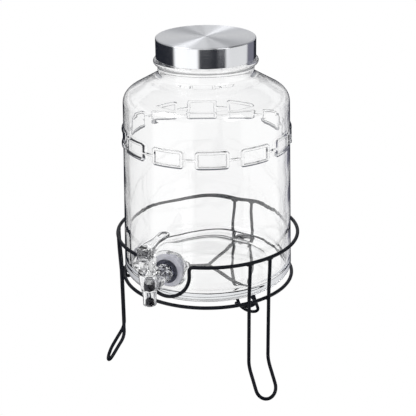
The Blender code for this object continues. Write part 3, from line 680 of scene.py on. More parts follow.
def build_stand():
    wire_piece("upper_ring_wire", smooth_path(upper_ring_path(), True, 2.2 * MM), "upper_ring", cyclic=True)
    sides = 240
    hoop = [around(LOWER_RING_R, 360 * i / sides, LOWER_RING_Z) for i in range(sides)]
    wire_piece("lower_ring_wire", hoop, "lower_ring", cyclic=True)
    for name, angle in LEG_ANGLES.items():
        leg = smooth_path(local_path(leg_route(), angle), False, 1.8 * MM)
        wire_piece(f"{name}_hairpin", leg, f"{name}_leg")
        star = smooth_path(local_path(star_route(), angle), False, 1.6 * MM)
        wire_piece(f"{name}_star_wire", star, f"{name}_star_arm", STAR_WIRE_R)
    build_welds()


def build_welds():
    bm = bmesh.new()
    up = Vector((0, 0, 1))
    half_turn = math.degrees(math.asin(LEG_HALF_WIDTH / LOWER_RING_R))
    for angle in LEG_ANGLES.values():
        radial, tangential = outward(angle), outward(angle + 90)
        for turn in (-half_turn, half_turn):
            along = outward(angle + turn + 90)
            top = around(UPPER_RING_R - 0.3 * MM, angle + turn * 0.94, UPPER_RING_Z - 1.7 * MM)
            weld(bm, top, along, up, 5.2 * MM, 2.0 * MM, 2.0 * MM)
            low = around(LOWER_RING_R + 2.1 * MM, angle + turn, LOWER_RING_Z)
            weld(bm, low, along, up, 2.9 * MM, 1.5 * MM, 2.0 * MM)
        hook = radial * 95.9 * MM - tangential * 8.4 * MM + up * (LOWER_RING_Z - 2.0 * MM)
        weld(bm, hook, tangential, up, 7.0 * MM, 1.5 * MM, 1.4 * MM, 5)
    weld(bm, up * STAR_Z, outward(20), up, 3.0 * MM, 3.0 * MM, 2.0 * MM)
    piece("stand_welds", bm, "powder_coat", "stand", (), None)


# Jar

HEEL_R = 12.0 * MM
BODY_LOW_R = 96.5 * MM
BODY_HIGH_R = 92.0 * MM
BODY_HIGH_Z = 321.0 * MM
SHOULDER_ROUND = 16.0 * MM
SHOULDER_SLOPE = 28.0
SHOULDER_MID_R = 65.5 * MM
SHOULDER_MID_Z = 345.4 * MM
NECK_R = 52.8 * MM
NECK_Z = 350.5 * MM
BEAD_R = 57.4 * MM
BEAD_Z = 367.4 * MM
BEAD_HALF = 2.4 * MM
FINISH_R = 51.0 * MM
MOUTH_R = 47.2 * MM
LIP_ROUND = 1.4 * MM
WALL = 3.5 * MM
WALL_LOW = 5.5 * MM
BASE_THICK = 10.5 * MM
INNER_HEEL_R = 9.0 * MM
PUSH_UP = 3.0 * MM

LINKS = 12
LINK_Z = 283.7 * MM
LINK_WIDTH = 35.2 * MM
LINK_HEIGHT = 19.3 * MM
LINK_INSET = 1.4 * MM
RELIEF_PROUD = 1.75 * MM
BRIDGE_HALF = 10.6 * MM

THREAD_PITCH = 6.0 * MM
THREAD_Z = 374.6 * MM
THREAD_TURN = 380.0

PAD_R = 21.0 * MM
PAD_FRONT = 97.2 * MM
PAD_BACK = 89.4 * MM
HOLE_R = 8.6 * MM

BODY_FROM = JAR_BASE_Z + HEEL_R
CHAIN_BAND = LINK_HEIGHT / 2 + 1.6 * MM
PAD_BAND = PAD_R + 3 * MM


def body_radius(height):
    share = (height - BODY_FROM) / (BODY_HIGH_Z - BODY_FROM)
    return BODY_LOW_R + (BODY_HIGH_R - BODY_LOW_R) * share


def shoulder(inset, steps):
    centre = (BODY_HIGH_R - SHOULDER_ROUND, BODY_HIGH_Z)
    points = arc(centre, SHOULDER_ROUND - inset, 0, 90 - SHOULDER_SLOPE, steps)
    a = math.radians(SHOULDER_SLOPE)
    return points + [(SHOULDER_MID_R - inset * math.sin(a), SHOULDER_MID_Z - inset * math.cos(a))]


def jar_outside():
    """The outer profile from the middle of the base up to the lip."""
    points = [(0, JAR_BASE_Z + PUSH_UP), (30 * MM, JAR_BASE_Z + PUSH_UP * 0.95)]
    points += [(60 * MM, JAR_BASE_Z + PUSH_UP * 0.6), (71 * MM, JAR_BASE_Z + 0.8 * MM), (76 * MM, JAR_BASE_Z)]
    points += arc((BODY_LOW_R - HEEL_R, JAR_BASE_Z + HEEL_R), HEEL_R, -90, 0, 14)
    points += shoulder(0, 14)
    points += beside(NECK_R, NECK_Z, (5.2, -0.7), (3, 0.3), (1.3, 1.6), (0.4, 3.2), (0, 5.4))
    points += beside(NECK_R, BEAD_Z - BEAD_HALF, (0, -1.0), (0.5, -0.25))
    points += arc((BEAD_R - BEAD_HALF, BEAD_Z), BEAD_HALF, -80, 80, 9)
    points += beside(FINISH_R, BEAD_Z + BEAD_HALF, (0.5, 0.3), (0, 1.0)) + [(FINISH_R, THREAD_Z + 6 * MM)]
    points += arc((FINISH_R - LIP_ROUND, LIP_Z - LIP_ROUND), LIP_ROUND, 0, 90, 5)
    return points


def jar_inside():
    """The inner profile from the lip down to the middle of the floor."""
    points = arc((MOUTH_R + LIP_ROUND, LIP_Z - LIP_ROUND), LIP_ROUND, 90, 180, 5)
    points += [(MOUTH_R, BEAD_Z + 2 * MM), (MOUTH_R + 0.9 * MM, BEAD_Z - 2 * MM)]
    points += beside(NECK_R - WALL, NECK_Z, (0, 7), (0, 2.5), (0.7, -0.4), (2.2, -2.6), (5, -4.2))
    points += list(reversed(shoulder(WALL, 14)))
    floor_z = JAR_BASE_Z + BASE_THICK
    heel = INNER_HEEL_R
    points += arc((BODY_LOW_R - WALL_LOW - heel, floor_z + heel), heel, 0, -90, 12)
    points += [(70 * MM, floor_z + 0.2 * MM), (40 * MM, floor_z + 1.1 * MM), (0, floor_z + PUSH_UP * 0.5)]
    return points


def smoothstep(low, high, x):
    t = np.clip((x - low) / (high - low), 0, 1)
    return t * t * (3 - 2 * t)


def relief(u, z, pitch):
    """How far the chain stands out of the wall, at arc length u round the jar and height z."""
    across = (u + pitch / 2) % pitch - pitch / 2
    half_w, half_h = LINK_WIDTH / 2 - LINK_INSET, LINK_HEIGHT / 2 - LINK_INSET
    corner, half = 1.6 * MM, 2.0 * MM
    qx, qz = np.abs(across) - half_w + corner, np.abs(z - LINK_Z) - half_h + corner
    outside = np.hypot(np.maximum(qx, 0), np.maximum(qz, 0)) + np.minimum(np.maximum(qx, qz), 0) - corner
    link = 1 - smoothstep(0.4 * half, half, np.abs(outside))
    between = (u % pitch) - pitch / 2
    share = np.clip(np.abs(between) / BRIDGE_HALF, 0, 1)
    thick = (1.75 - 0.55 * share) * MM
    end = 1 - smoothstep(BRIDGE_HALF - 1.2 * MM, BRIDGE_HALF, np.abs(between))
    bar = (1 - smoothstep(0.3 * thick, thick, np.abs(z - LINK_Z))) * end
    return RELIEF_PROUD * np.maximum(link, bar)


def resample(points, steps_at):
    """Adds points along a profile so that no step is longer than steps_at says at that height."""
    out = [points[0]]
    for (r0, z0), (r1, z1) in zip(points, points[1:]):
        length = math.hypot(r1 - r0, z1 - z0)
        pieces = max(1, math.ceil(length / steps_at(z0, z1)))
        for i in range(1, pieces + 1):
            t = i / pieces
            out.append((r0 + (r1 - r0) * t, z0 + (z1 - z0) * t))
    return out


def jar_columns():
    """Angles of the mesh's columns: closer together at the links' ends, where the relief is steep."""
    wall_r = body_radius(LINK_Z)
    pitch = 2 * math.pi * wall_r / LINKS
    ends = [0.0]
    fine, coarse = 0.64 * MM, 3.6 * MM
    u = 0.0
    while u < pitch / 2 - 1e-9:
        at_link = abs(u - (LINK_WIDTH / 2 - LINK_INSET)) < 2.6 * MM
        at_bar = abs(u - (pitch / 2 - BRIDGE_HALF)) < 1.4 * MM
        u += fine if at_link or at_bar else coarse
        ends.append(u)
    scale = (pitch / 2) / ends[-1]
    half = [x * scale for x in ends]
    one = half[:-1] + [pitch - x for x in reversed(half[1:])]
    return [math.degrees((k * pitch + x) / wall_r) for k in range(LINKS) for x in one]


def outer_step(z0, z1):
    """The longest step that the mesh takes over a stretch of the outer profile."""
    if z1 - z0 > 50 * MM:
        return 2.0 * MM
    on_thread = z0 >= BEAD_Z and (z0 + z1) / 2 > BEAD_Z + BEAD_HALF
    return 0.9 * MM if on_thread else 5.0 * MM


def inner_step(z0, z1):
    return 8.0 * MM if abs(z1 - z0) > 20 * MM else 6.0 * MM


def wall_heights():
    """Heights of the wall's rings: close together over the chain, and fairly close over the tap's boss."""
    heights = []
    z = BODY_FROM
    while z < BODY_HIGH_Z:
        in_chain = abs(z - LINK_Z) < CHAIN_BAND
        in_pad = abs(z - TAP_Z) < PAD_BAND
        step = 0.66 * MM if in_chain else 2.0 * MM if in_pad else 7.0 * MM
        stops = [edge for edge in (TAP_Z - PAD_BAND, LINK_Z - CHAIN_BAND) if z < edge < z + step]
        z = stops[0] + 1e-6 if stops else z + step
        heights.append(z)
    return [h for h in heights if h < BODY_HIGH_Z - 0.6 * MM]


def build_jar():
    columns = np.array(jar_columns())
    rad = np.radians(columns)
    signed = (columns + 180) % 360 - 180
    wall_r = body_radius(LINK_Z)
    pitch = 2 * math.pi * wall_r / LINKS
    bm = bmesh.new()
    rings = []

    def add_ring(r, z, extra, wall_from, face, outside):
        if r < TINY:
            rings.append([bm.verts.new((0, 0, z))])
            return
        radius = np.full(len(columns), r) + extra
        x, y = radius * np.sin(rad), -radius * np.cos(rad)
        if abs(z - TAP_Z) < PAD_BAND and r > wall_from:
            y = pad_blend(x, y, z, signed, face, outside)
        rings.append([bm.verts.new((a, b, z)) for a, b in zip(x, y)])

    walls = []
    for r, z in resample(jar_outside(), outer_step):
        if not (BODY_FROM + 1e-6 < z < BODY_HIGH_Z - 1e-6 and r > 90 * MM):
            walls.append((r, z))
    index = next(i for i, p in enumerate(walls) if p[1] >= BODY_HIGH_Z - 1e-6)
    walls[index:index] = [(body_radius(h), h) for h in wall_heights()]
    for r, z in walls:
        extra = 0.0
        if abs(z - LINK_Z) < CHAIN_BAND:
            extra = relief(rad * wall_r, z, pitch)
        elif z > BEAD_Z + BEAD_HALF and r > FINISH_R - 0.1 * MM:
            extra = thread(columns, z)
        add_ring(r, z, extra, 90 * MM, PAD_FRONT, True)

    for r, z in resample(jar_inside(), inner_step):
        wave = 0.16 * MM * np.sin(3 * rad + z * 55) * np.sin(z * 90 + 1.3)
        wave = wave + 0.10 * MM * np.sin(7 * rad - z * 130)
        wavy = BODY_FROM < z < BODY_HIGH_Z and r > 85 * MM
        add_ring(r, z, wave if wavy else 0.0, 85 * MM, PAD_BACK, False)
    bridge(bm, rings)
    jar = piece("glass_jar", bm, "jar_glass", "jar_and_tap", ["jar"], 60)
    boolean(jar, solid("drill", cylinder(HOLE_R, 60 * MM, 120 * MM), 48, TO_TAP), "DIFFERENCE")


def thread(columns, z):
    """The finish's single-start thread: a rounded helical ridge whose ends fade."""
    out = np.zeros(len(columns))
    for lap in (0, 360):
        turn = columns + lap
        inside = turn <= THREAD_TURN
        height = THREAD_Z + THREAD_PITCH * turn / 360
        fade = np.clip(np.minimum(turn, THREAD_TURN - turn) / 22, 0, 1)
        ridge = 1 - smoothstep(0.5 * MM, 1.5 * MM, np.abs(z - height))
        out = np.maximum(out, np.where(inside, 1.4 * MM * ridge * fade, 0))
    return out


def pad_blend(x, y, z, signed, face, outside):
    """Blends the wall into the flat round boss that the tap's washers bear on."""
    away = np.hypot(x, z - TAP_Z)
    near = np.abs(signed) < 30
    inner, outer = PAD_R - 2.4 * MM, PAD_R + (0.6 * MM if outside else 0.9 * MM)
    share = 1 - smoothstep(inner, outer, away)
    blended = y * (1 - share) - face * share
    proud = (blended < y) if outside else (blended > y)
    return np.where(near & proud, blended, y)


# Lid

LID_R = 54.6 * MM
LID_TOP_Z = lid_high.z
LID_BOTTOM_Z = lid_low.z
LID_SHEET = 0.6 * MM
GAP = 0.3 * MM


def build_lid():
    edge = 1.6 * MM
    inner_r = LID_R - LID_SHEET
    hem = 0.45 * MM
    centre = (LID_R - edge, LID_TOP_Z - edge)
    profile = beside(0, LID_TOP_Z, (0, 0), (26, 0), (46, 0)) + arc(centre, edge, 90, 0, 8)
    profile += beside(LID_R, LID_BOTTOM_Z, (0, 4), (0, 1.6))
    profile += arc((LID_R - hem, LID_BOTTOM_Z + hem), hem, 0, -90, 4)
    profile += beside(inner_r, LID_BOTTOM_Z, (0.02, 0), (0, 0.2))
    profile += arc(centre, edge - LID_SHEET, 0, 90, 6)
    profile += [(0, LID_TOP_Z - LID_SHEET)]
    turned_piece("lid_cap", profile, 192, "brushed_steel", "lid", ["lid_shell"], 50, closed=False)

    liner_r = LID_R - LID_SHEET - GAP
    bore = 52.9 * MM
    top = LID_TOP_Z - LID_SHEET - GAP
    under = top - 2.2 * MM
    bottom = LID_BOTTOM_Z + 0.5 * MM
    outline = [(0, top), (liner_r, top), (liner_r, bottom), (bore, bottom), (bore, under), (0, under)]
    bm = bmesh.new()
    turned(bm, rounded(outline, 0.5 * MM), 144)
    liner_thread(bm, bore)
    piece("lid_insert", bm, "white_plastic", "lid", ["lid_liner"])

    low, high = LIP_Z + GAP, under - GAP
    inner, outer = 46.9 * MM, 52.2 * MM
    section = beside(inner, low, (0.3, 0)) + beside(outer, low, (-0.3, 0), (0, 0.3))
    section += beside(outer, high, (0, -0.3), (-0.3, 0), (-2.3, 0), (-2.7, -0.4), (-3.1, 0))
    section += beside(inner, high, (0.3, 0), (0, -0.3)) + beside(inner, low, (0, 0.3))
    turned_piece("lid_gasket", section, 144, "silicone", "seal", ["lid_seal"])


def liner_thread(bm, bore):
    turn, first, steps, fade_steps = 300.0, 72.0, 100, 8
    start_z = THREAD_Z - 2.6 * MM + 1.2 * MM
    crest = FINISH_R + 0.45 * MM
    root = bore + 0.3 * MM
    rings = []
    for i in range(steps + 1):
        z = start_z + THREAD_PITCH * turn * i / steps / 360
        fade = min(1.0, (i + 0.2) / fade_steps, (steps - i + 0.2) / fade_steps)
        tip = bore + (crest - bore) * fade
        half = [(root, -1.3), (tip + 0.2 * MM, -0.75), (tip, -0.4)]
        section = half + [(r, -h) for r, h in reversed(half)]
        at = first + turn * i / steps
        rings.append([bm.verts.new(around(r, at, z + h * MM * fade)) for r, h in section])
    bridge(bm, rings, capped=True)


# Tap

TO_TAP = Matrix.Translation((0, 0, TAP_Z)) @ Matrix.Rotation(math.radians(90), 4, "X")
TO_SPOUT = Matrix.Translation((0, -SPOUT_Y, 0))
TO_PIN = Matrix.Translation((0, -SPOUT_Y, PIN_Z))
ALONG_X = Matrix.Rotation(math.radians(90), 4, "Y")
WASHER_THICK = 2.4 * MM
FLANGE_THICK = 3.0 * MM
FLANGE_FRONT = PAD_FRONT + GAP + WASHER_THICK + GAP + FLANGE_THICK
FLANGE_BACK = FLANGE_FRONT - FLANGE_THICK
SPOUT_END_Z = body_low.z
SPOUT_TOP_Z = 172.0 * MM
SEAT_Z = 151.0 * MM
SHANK_R = 8.0 * MM
SHANK_END = 72.5 * MM


def build_tap_body():
    end_r, top_r = 7.2 * MM, 11.6 * MM
    outside = [(0, SPOUT_END_Z), (end_r, SPOUT_END_Z), (end_r, 144.5 * MM), (top_r, 169.5 * MM)]
    outside += [(top_r, SPOUT_TOP_Z), (0, SPOUT_TOP_Z)]
    spout = solid("spout", rounded(outside, 0.6 * MM), 64, TO_SPOUT)

    barrel_r, waist_r = 9.6 * MM, 8.9 * MM
    barrel = [(0, FLANGE_FRONT - MM), (barrel_r, FLANGE_FRONT - MM)]
    for i in range(4):
        near = FLANGE_FRONT + (1.6 + 4.6 * i) * MM
        barrel += beside(barrel_r, near, (0, 0), (0, 0.6)) + beside(waist_r, near, (0, 1.2), (0, 3.2))
        barrel += beside(barrel_r, near, (0, 3.8))
    barrel += [(barrel_r, SPOUT_Y - 3 * MM), (0, SPOUT_Y - 3 * MM)]
    flange = rounded(cylinder(13.6 * MM, FLANGE_BACK, FLANGE_FRONT), 0.7 * MM)

    shank = [(0, SHANK_END), (SHANK_R - 0.8 * MM, SHANK_END)]
    z = SHANK_END + 0.9 * MM
    while z < PAD_BACK + 1 * MM:
        shank += beside(SHANK_R, z, (0, 0), (0, 0.5), (-0.7, 1.0), (-0.7, 1.4))
        z += 2.0 * MM
    shank += [(SHANK_R, FLANGE_BACK + MM), (0, FLANGE_BACK + MM)]
    bore = cylinder(4.8 * MM, SHANK_END - MM, SPOUT_Y - 4 * MM)
    chamber = beside(0, SPOUT_END_Z, (0, -1), (5.1, -1), (5.1, 0), (4.5, 1))
    chamber += beside(0, SEAT_Z, (4.5, 0), (7.4, 2.4)) + beside(0, SPOUT_TOP_Z, (7.4, 1), (0, 1))
    tools = [
        (solid("barrel", barrel, 56, TO_TAP), "UNION"),
        (solid("flange", flange, 72, TO_TAP), "UNION"),
        (solid("shank", shank, 48, TO_TAP), "UNION"),
        (solid("shank_bore", bore, 40, TO_TAP), "DIFFERENCE"),
        (solid("chamber", chamber, 48, TO_SPOUT), "DIFFERENCE"),
    ]
    piece("tap_moulding", combine(spout, tools), "tap_plastic", "jar_and_tap", ["tap_body"], 35)


def rounded_ring(inner, outer, low, high, edge):
    edge = min(edge, (high - low) * 0.48)
    small = min(edge, 0.3 * MM)
    section = arc((outer - edge, low + edge), edge, -90, 0, 4)
    section += arc((outer - edge, high - edge), edge, 0, 90, 4)
    section += arc((inner + small, high - small), small, 90, 180, 3)
    section += arc((inner + small, low + small), small, 180, 270, 3)
    return section


def build_tap_fittings():
    """The washers, the nut, the collar and ring round the valve's stem, and a black sleeve in the spout's
    outlet that is painted shade for the outlet's dark bore.
    """
    tap = "jar_and_tap"
    # Painted shade: a black rubber sleeve inside the spout's outlet, for the dark seen in the outlet's bore;
    # it stands for no CAD part.
    low, high = SPOUT_END_Z + 0.5 * MM, SPOUT_END_Z + 7.6 * MM
    section = beside(0, low, (3.2, 0), (3.9, 0), (4.2, 0.4))
    section += beside(0, high, (4.2, -1.6), (4.0, -0.7), (3.5, 0), (3.2, -0.3))
    turned_piece("outlet_shade_sleeve", section, 40, "black_rubber", tap, (), matrix=TO_SPOUT)

    front, back = PAD_FRONT + GAP, PAD_BACK - GAP
    bore, back_thick = SHANK_R + GAP, 2.0 * MM
    washer = rounded_ring(bore, 19.0 * MM, front, front + WASHER_THICK, 0.8 * MM)
    turned_piece("front_washer", washer, 96, "silicone", tap, ["outer_washer"], matrix=TO_TAP)
    washer = rounded_ring(bore, 13.6 * MM, back - back_thick, back, 0.5 * MM)
    turned_piece("back_washer", washer, 72, "silicone", tap, ["inner_washer"], matrix=TO_TAP)
    build_nut(back - back_thick - GAP)

    low = SPOUT_TOP_Z - 4.5 * MM
    groove, bore_r, spigot = 4.3 * MM, 2.25 * MM, 7.1 * MM
    top = bonnet_high.z
    section = [(bore_r, low + 2.3 * MM), (groove, low + 2.3 * MM), (groove, low), (spigot, low)]
    section += [(spigot, SPOUT_TOP_Z + GAP)] + beside(0, SPOUT_TOP_Z, (10.3, 0.3), (10.6, 0.6))
    section += beside(0, top, (10.6, -1.3), (10.3, -0.6), (9.7, -0.15), (9.2, 0), (3.4, 0), (3.0, -0.5))
    section += [(bore_r, top - 0.6 * MM)]
    turned_piece("tap_collar", section, 64, "clear_plastic", tap, ["tap_bonnet"], matrix=TO_SPOUT)

    ring = arc((3.15 * MM, low + GAP + 0.85 * MM), 0.8 * MM, 0, 337.5, 15)
    turned_piece("stem_ring", ring, 40, "black_rubber", tap, ["stem_o_ring"], None, matrix=TO_SPOUT)


def build_nut(back):
    """A hexagon nut with chamfered corners, inside the jar."""
    bm = bmesh.new()
    corner_r = 24.0 * MM / math.sqrt(3)
    thick, bore, sides = 7.0 * MM, SHANK_R + GAP, 72
    stations = [(back, 0.86), (back - 0.5 * MM, 0.97), (back - 1.2 * MM, 1.0), (back - thick + 1.2 * MM, 1.0)]
    stations += [(back - thick + 0.4 * MM, 0.95), (back - thick, 0.84)]
    rings = []
    for distance, scale in stations:
        ring = []
        for i in range(sides):
            a = 360 * i / sides
            off = math.radians((a + 30) % 60 - 30)
            flat = corner_r * math.cos(math.radians(30)) / math.cos(off)
            r = min(flat, corner_r * scale, corner_r * 0.985)
            ring.append(bm.verts.new(around(r, a, distance)))
        rings.append(ring)
    for distance in (back - thick, back):
        rings.append([bm.verts.new(around(bore, 360 * i / sides, distance)) for i in range(sides)])
    bridge(bm, rings, closed=True)
    bmesh.ops.transform(bm, matrix=TO_TAP, verts=bm.verts)
    piece("clamp_nut", bm, "clear_plastic", "jar_and_tap", ["tap_nut"], 30)


def build_valve():
    stem_r, head_r, pin_r, flange_r = 2.0 * MM, 3.3 * MM, 1.5 * MM, 3.5 * MM
    floor_z, top_z, plug_r, seat_r = SEAT_Z + 6.0 * MM, 160.5 * MM, 5.6 * MM, 4.2 * MM
    collar = floor_z + GAP
    head = PIN_Z - 4.2 * MM
    outline = [(0, SEAT_Z + 3.2 * MM), (stem_r, SEAT_Z + 3.2 * MM), (stem_r, collar), (flange_r, collar)]
    outline += [(flange_r, collar + 1.2 * MM), (stem_r, collar + 1.2 * MM), (stem_r, head - MM)]
    outline += [(head_r, head), (head_r, PIN_Z + 2.8 * MM), (head_r - 1.2 * MM, PIN_Z + 4.0 * MM)]
    outline.append((0, PIN_Z + 4.0 * MM))
    stem = solid("stem", rounded(outline, 0.35 * MM), 40, TO_SPOUT)
    hole = cylinder(pin_r + 0.25 * MM, -5 * MM, 5 * MM)
    mesh = combine(stem, [(solid("stem_hole", hole, 24, TO_PIN @ ALONG_X), "DIFFERENCE")])
    piece("stem_rod", mesh, "white_plastic", "valve", ["valve_stem"], 35)

    low, bore = SEAT_Z + 0.45 * MM, stem_r + 0.2 * MM
    inner = plug_r - 0.7 * MM
    outline = [(0, low - 1.2 * MM), (seat_r, low - 1.2 * MM), (seat_r, low), (plug_r, low + 1.6 * MM)]
    outline += [(plug_r, top_z), (inner, top_z), (inner, floor_z), (bore, floor_z), (bore, SEAT_Z + 2.9 * MM)]
    outline = rounded(outline + [(0, SEAT_Z + 2.9 * MM)], 0.3 * MM, 3)
    turned_piece("seat_cup", outline, 48, "black_rubber", "valve", ["valve_plug"], 35, False, TO_SPOUT)

    low, high = floor_z + 0.7 * MM, SPOUT_TOP_Z - 5.2 * MM
    steps, turns, coil_r, coil_wire_r = 160, 4, 4.3 * MM, 0.4 * MM
    path = []
    for i in range(steps + 1):
        share = i / steps
        lift = 0.12 * math.sin(math.tau * share) / math.tau
        at = around(coil_r, 360 * turns * share, low + (high - low) * (share - lift))
        path.append(at + Vector((0, -SPOUT_Y, 0)))
    bm = bmesh.new()
    tube(bm, path, coil_wire_r, sides=10)
    spring = piece("return_spring", bm, "spring_steel", None, ["valve_spring"], None)
    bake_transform(spring)

    half, chamfer = 7.0 * MM, 0.3 * MM
    outline = [(0, -half), (pin_r - chamfer, -half), (pin_r, -half + chamfer), (pin_r, half - chamfer)]
    outline += [(pin_r - chamfer, half), (0, half)]
    pin = ["lever_pin"]
    turned_piece("cross_pin", outline, 32, "spring_steel", "valve", pin, 35, False, TO_PIN @ ALONG_X)


CAM_R = 9.3 * MM
CAM_FORWARD = 4.5 * MM
CAM_UP = 2.2 * MM
LEVER_HALF_WIDTH = 7.6 * MM
LEVER_LENGTH = 34.8 * MM
PADDLE_R = 6.0 * MM
PADDLE_BASE = 15.5 * MM
PADDLE_THICK = 3.4 * MM
RECESS_R = 3.4 * MM


def paddle_outline():
    """The paddle from above, from its square front to its round tip."""
    half = LEVER_HALF_WIDTH - 0.6 * MM
    left = beside(-half, 0, (2.6, -13), (0.7, -12.3), (0, -10.4), (0, 3), (0.4, 6))
    left += beside(0, 0, (-5.9, 10), (-5.1, 14), (-4.9, 17.5), (-5.1, 22), (-5.7, 28))
    left += [(-PADDLE_R, LEVER_LENGTH - 2 * MM)]
    tip = arc((0, LEVER_LENGTH), PADDLE_R, 180, 0, 16)
    return left + tip + [(-x, y) for x, y in reversed(left)]


def slab(name, outline, low, high, edge=0.0):
    """A flat shape with rounded upper and lower edges."""
    bm = bmesh.new()
    count = len(outline)
    normals = []
    for i in range(count):
        t = (Vector(outline[(i + 1) % count]) - Vector(outline[i - 1])).normalized()
        normals.append(Vector((-t.y, t.x)))
    area = sum(outline[i - 1][0] * outline[i][1] - outline[i][0] * outline[i - 1][1] for i in range(count))
    sign = -1 if area > 0 else 1
    levels = [(low, 0.0), (high, 0.0)]
    if edge:
        angles = [math.radians(30 * k) for k in range(4)]
        levels = [(low + edge * (1 - math.cos(a)), edge * (1 - math.sin(a))) for a in angles]
        levels += [(high - (z - low), inset) for z, inset in reversed(levels)]
    rings = []
    for z, inset in levels:
        inward = sign * inset
        moved = [(x - n.x * inward, y - n.y * inward) for (x, y), n in zip(outline, normals)]
        rings.append([bm.verts.new((*at, z)) for at in moved])
    bridge(bm, rings, capped=True)
    return add_object(name, mesh_of(bm, name), AXIS + Vector((0, -SPOUT_Y, PIN_Z)))


def recess_outline():
    """A long hole: the paddle tip's circle, drawn out towards the pin."""
    points = []
    sides, length = 32, 7.0 * MM
    for i in range(sides):
        a = math.radians(-90 + 360 * i / sides)
        shift = 0 if math.sin(a) >= 0 else -length
        points.append((RECESS_R * math.cos(a), LEVER_LENGTH + shift + RECESS_R * math.sin(a)))
    return points


def build_lever():
    half = LEVER_HALF_WIDTH
    edge = 0.8 * MM
    across = Matrix.Translation((0, -CAM_FORWARD, CAM_UP)) @ ALONG_X
    cam = solid("cam", rounded(cylinder(CAM_R, -half, half), edge), 72, TO_PIN @ across)
    neck_half, neck_round = half - 0.4 * MM, 1.2 * MM
    low, high = -12.4 * MM, 3.6 * MM
    neck = []
    for x, y, start in ((-1, low, 180), (1, low, 270), (1, high, 0), (-1, high, 90)):
        centre = (x * (neck_half - neck_round), y + (neck_round if y < 0 else -neck_round))
        neck += arc(centre, neck_round, start, start + 90, 4)
    slot_x, slot_far, slot_near = 3.7 * MM, -20 * MM, 5.4 * MM
    slot = [(-slot_x, slot_far), (slot_x, slot_far), (slot_x, slot_near), (-slot_x, slot_near)]
    top = PADDLE_BASE + PADDLE_THICK
    hole = cylinder(1.75 * MM, -9 * MM, 9 * MM)
    tools = [
        (slab("neck", neck, 2 * MM, PADDLE_BASE + MM), "UNION"),
        (slab("paddle", paddle_outline(), PADDLE_BASE, top, edge), "UNION"),
        (slab("recess", recess_outline(), top - 1.8 * MM, top + 4 * MM), "DIFFERENCE"),
        (slab("slot", slot, slot_far, slot_near), "DIFFERENCE"),
        (solid("pin_hole", hole, 32, TO_PIN @ ALONG_X), "DIFFERENCE"),
    ]
    piece("lever_arm", combine(cam, tools), "lever_plastic", "lever", ["lever"], 35)


# Camera, floor and light

FRONT = 26.57  # degrees from the tap's side towards +X
AMBIENT = 0.55
FLOOR_DROP = 0.2 * MM
BRIGHT = (1.4, 1.4, 1.4)
WHITE = (1.0, 1.0, 1.0)
GREY = (0.52, 0.53, 0.55)
LIGHT = (0.72, 0.72, 0.74)
MIST = (0.22, 0.22, 0.27)
DARK = (0.012, 0.014, 0.022)

# The soft boxes and dark flags that stand round the set: (degrees from the front, brightness)
STUDIO = [(-180, DARK), (-79, DARK), (-72, BRIGHT), (-20, BRIGHT), (-13, DARK), (42, DARK)]
STUDIO += [(48, WHITE), (104, WHITE), (109, MIST), (136, MIST), (142, DARK), (180, DARK)]

# The lights overhead, which the lid's top mirrors
OVERHEAD = [(-180, WHITE), (-150, LIGHT), (-110, GREY), (-50, GREY), (-22, WHITE), (6, WHITE)]
OVERHEAD += [(24, DARK), (105, DARK), (130, GREY), (160, LIGHT), (180, WHITE)]


def build_camera():
    focal_px, width_px = 1100.0, 416.0
    azimuth, pitch, roll = 26.54, 22.36, 0.603
    stand_off, height = 1165.9 * MM, 672.6 * MM
    data = bpy.data.cameras.new("camera")
    data.sensor_width = 36.0
    data.lens = focal_px * data.sensor_width / width_px
    data.clip_start = 0.01
    data.clip_end = 20.0
    camera = add_object("camera", data, AXIS + around(stand_off, FRONT, height))
    bpy.context.scene.camera = camera
    turn = Matrix.Identity(4)
    for degrees, axis in ((azimuth, "Z"), (90 - pitch, "X"), (-roll, "Z")):
        turn = turn @ Matrix.Rotation(math.radians(degrees), 4, axis)
    camera.rotation_euler = turn.to_euler()


def by_direction(tree, vector, stops):
    """Brightness by direction round the set."""
    inputs = {"Vector": vector, "Angle": math.radians(-FRONT)}
    facing = tree.axes(tree.add("VectorRotate", "Vector", inputs, rotation_type="Z_AXIS"))
    angle = tree.calc("ARCTAN2", facing["X"], tree.times(facing["Y"], -1.0))
    share = tree.rises(angle, -math.pi, math.pi)
    return tree.ramp(share, [((degrees + 180) / 360, colour) for degrees, colour in stops])


def by_height(tree, height, low, high, below, above):
    """One brightness below a height and another above it."""
    amount = tree.spread(height, 0.0, 1.0, low, high, interpolation_type="SMOOTHSTEP")
    return tree.add("Mix", 2, {"Factor": amount, 6: below, 7: above}, data_type="RGBA")


def studio_shader(tree, output, mirrored, refracted):
    """White to the camera. Rays that metal mirrors or glass bends see the soft boxes and flags."""
    path = tree.add("LightPath", 0).node.outputs
    shader = tree.add("Emission", 0, {"Color": WHITE, "Strength": AMBIENT})
    layers = [("Is Glossy Ray", mirrored, 0.99), ("Is Transmission Ray", refracted, 0.985)]
    for ray, colour, strength in layers + [("Is Camera Ray", WHITE, 1.0)]:
        layer = tree.add("Emission", 0, {"Color": colour, "Strength": strength})
        shader = tree.add("MixShader", 0, {"Fac": path[ray], 1: shader, 2: layer})
    tree.links.new(shader, tree.nodes[output].inputs["Surface"])


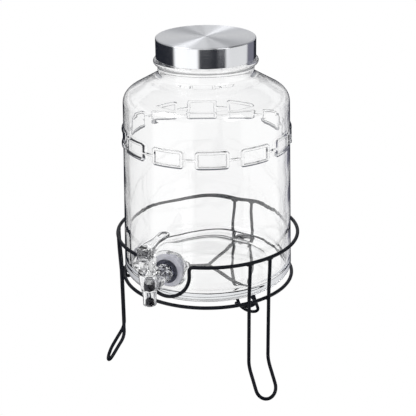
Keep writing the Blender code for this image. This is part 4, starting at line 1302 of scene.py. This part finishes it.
def build_floor():
    bm = bmesh.new()
    turned(bm, [(0, 0), (6.0, 0)], 64)
    mesh = mesh_of(bm, "studio_floor")
    floor = add_object("studio_floor", mesh, AXIS - Vector((0, 0, FLOOR_DROP)))
    material = bpy.data.materials.new("studio_floor")
    tree = Tree(material)
    tree.nodes.remove(tree.nodes["Principled BSDF"])
    pattern = by_direction(tree, tree.add("TexCoord", "Object"), STUDIO)
    studio_shader(tree, "Material Output", pattern, WHITE)
    mesh.materials.append(material)


def build_world():
    """What is mirrored sees the soft boxes low down and the lights overhead above them. What glass bends sees
    white near the horizon, a dark band, white again, and a dark ceiling."""
    world = bpy.data.worlds.new("studio")
    bpy.context.scene.world = world
    tree = Tree(world)
    tree.nodes.remove(tree.nodes["Background"])
    direction = tree.add("TexCoord", "Generated")
    height = tree.axes(direction)["Z"]
    low, high = by_direction(tree, direction, STUDIO), by_direction(tree, direction, OVERHEAD)
    mirrored = by_height(tree, height, 0.06, 0.14, low, high)
    refracted = by_height(tree, height, 0.15, 0.2, WHITE, DARK)
    refracted = by_height(tree, height, 0.30, 0.35, refracted, WHITE)
    refracted = by_height(tree, height, 0.50, 0.56, refracted, DARK)
    studio_shader(tree, "World Output", mirrored, refracted)


def lamp(name, location, size, power):
    data = bpy.data.lights.new(name, "AREA")
    data.shape = "RECTANGLE"
    data.size, data.size_y = size
    data.energy = power
    obj = add_object(name, data, location)
    middle = Vector((0, 0, 0.2))
    obj.rotation_euler = (middle - Vector(location)).to_track_quat("-Z", "Y").to_euler()
    obj.visible_camera = False


def build_studio():
    build_camera()
    build_floor()
    build_world()
    lamp("key", (-0.9, -1.1, 1.6), (1.0, 1.0), 14)
    lamp("fill", (1.4, -0.6, 1.1), (0.8, 1.2), 7)
    bpy.context.scene.view_settings.view_transform = "Standard"
    bpy.context.scene.view_settings.look = "None"


LOOKS = all_looks()
build_stand()
build_jar()
build_lid()
build_tap_body()
build_tap_fittings()
build_valve()
build_lever()
build_studio()

bpy.context.view_layer.update()
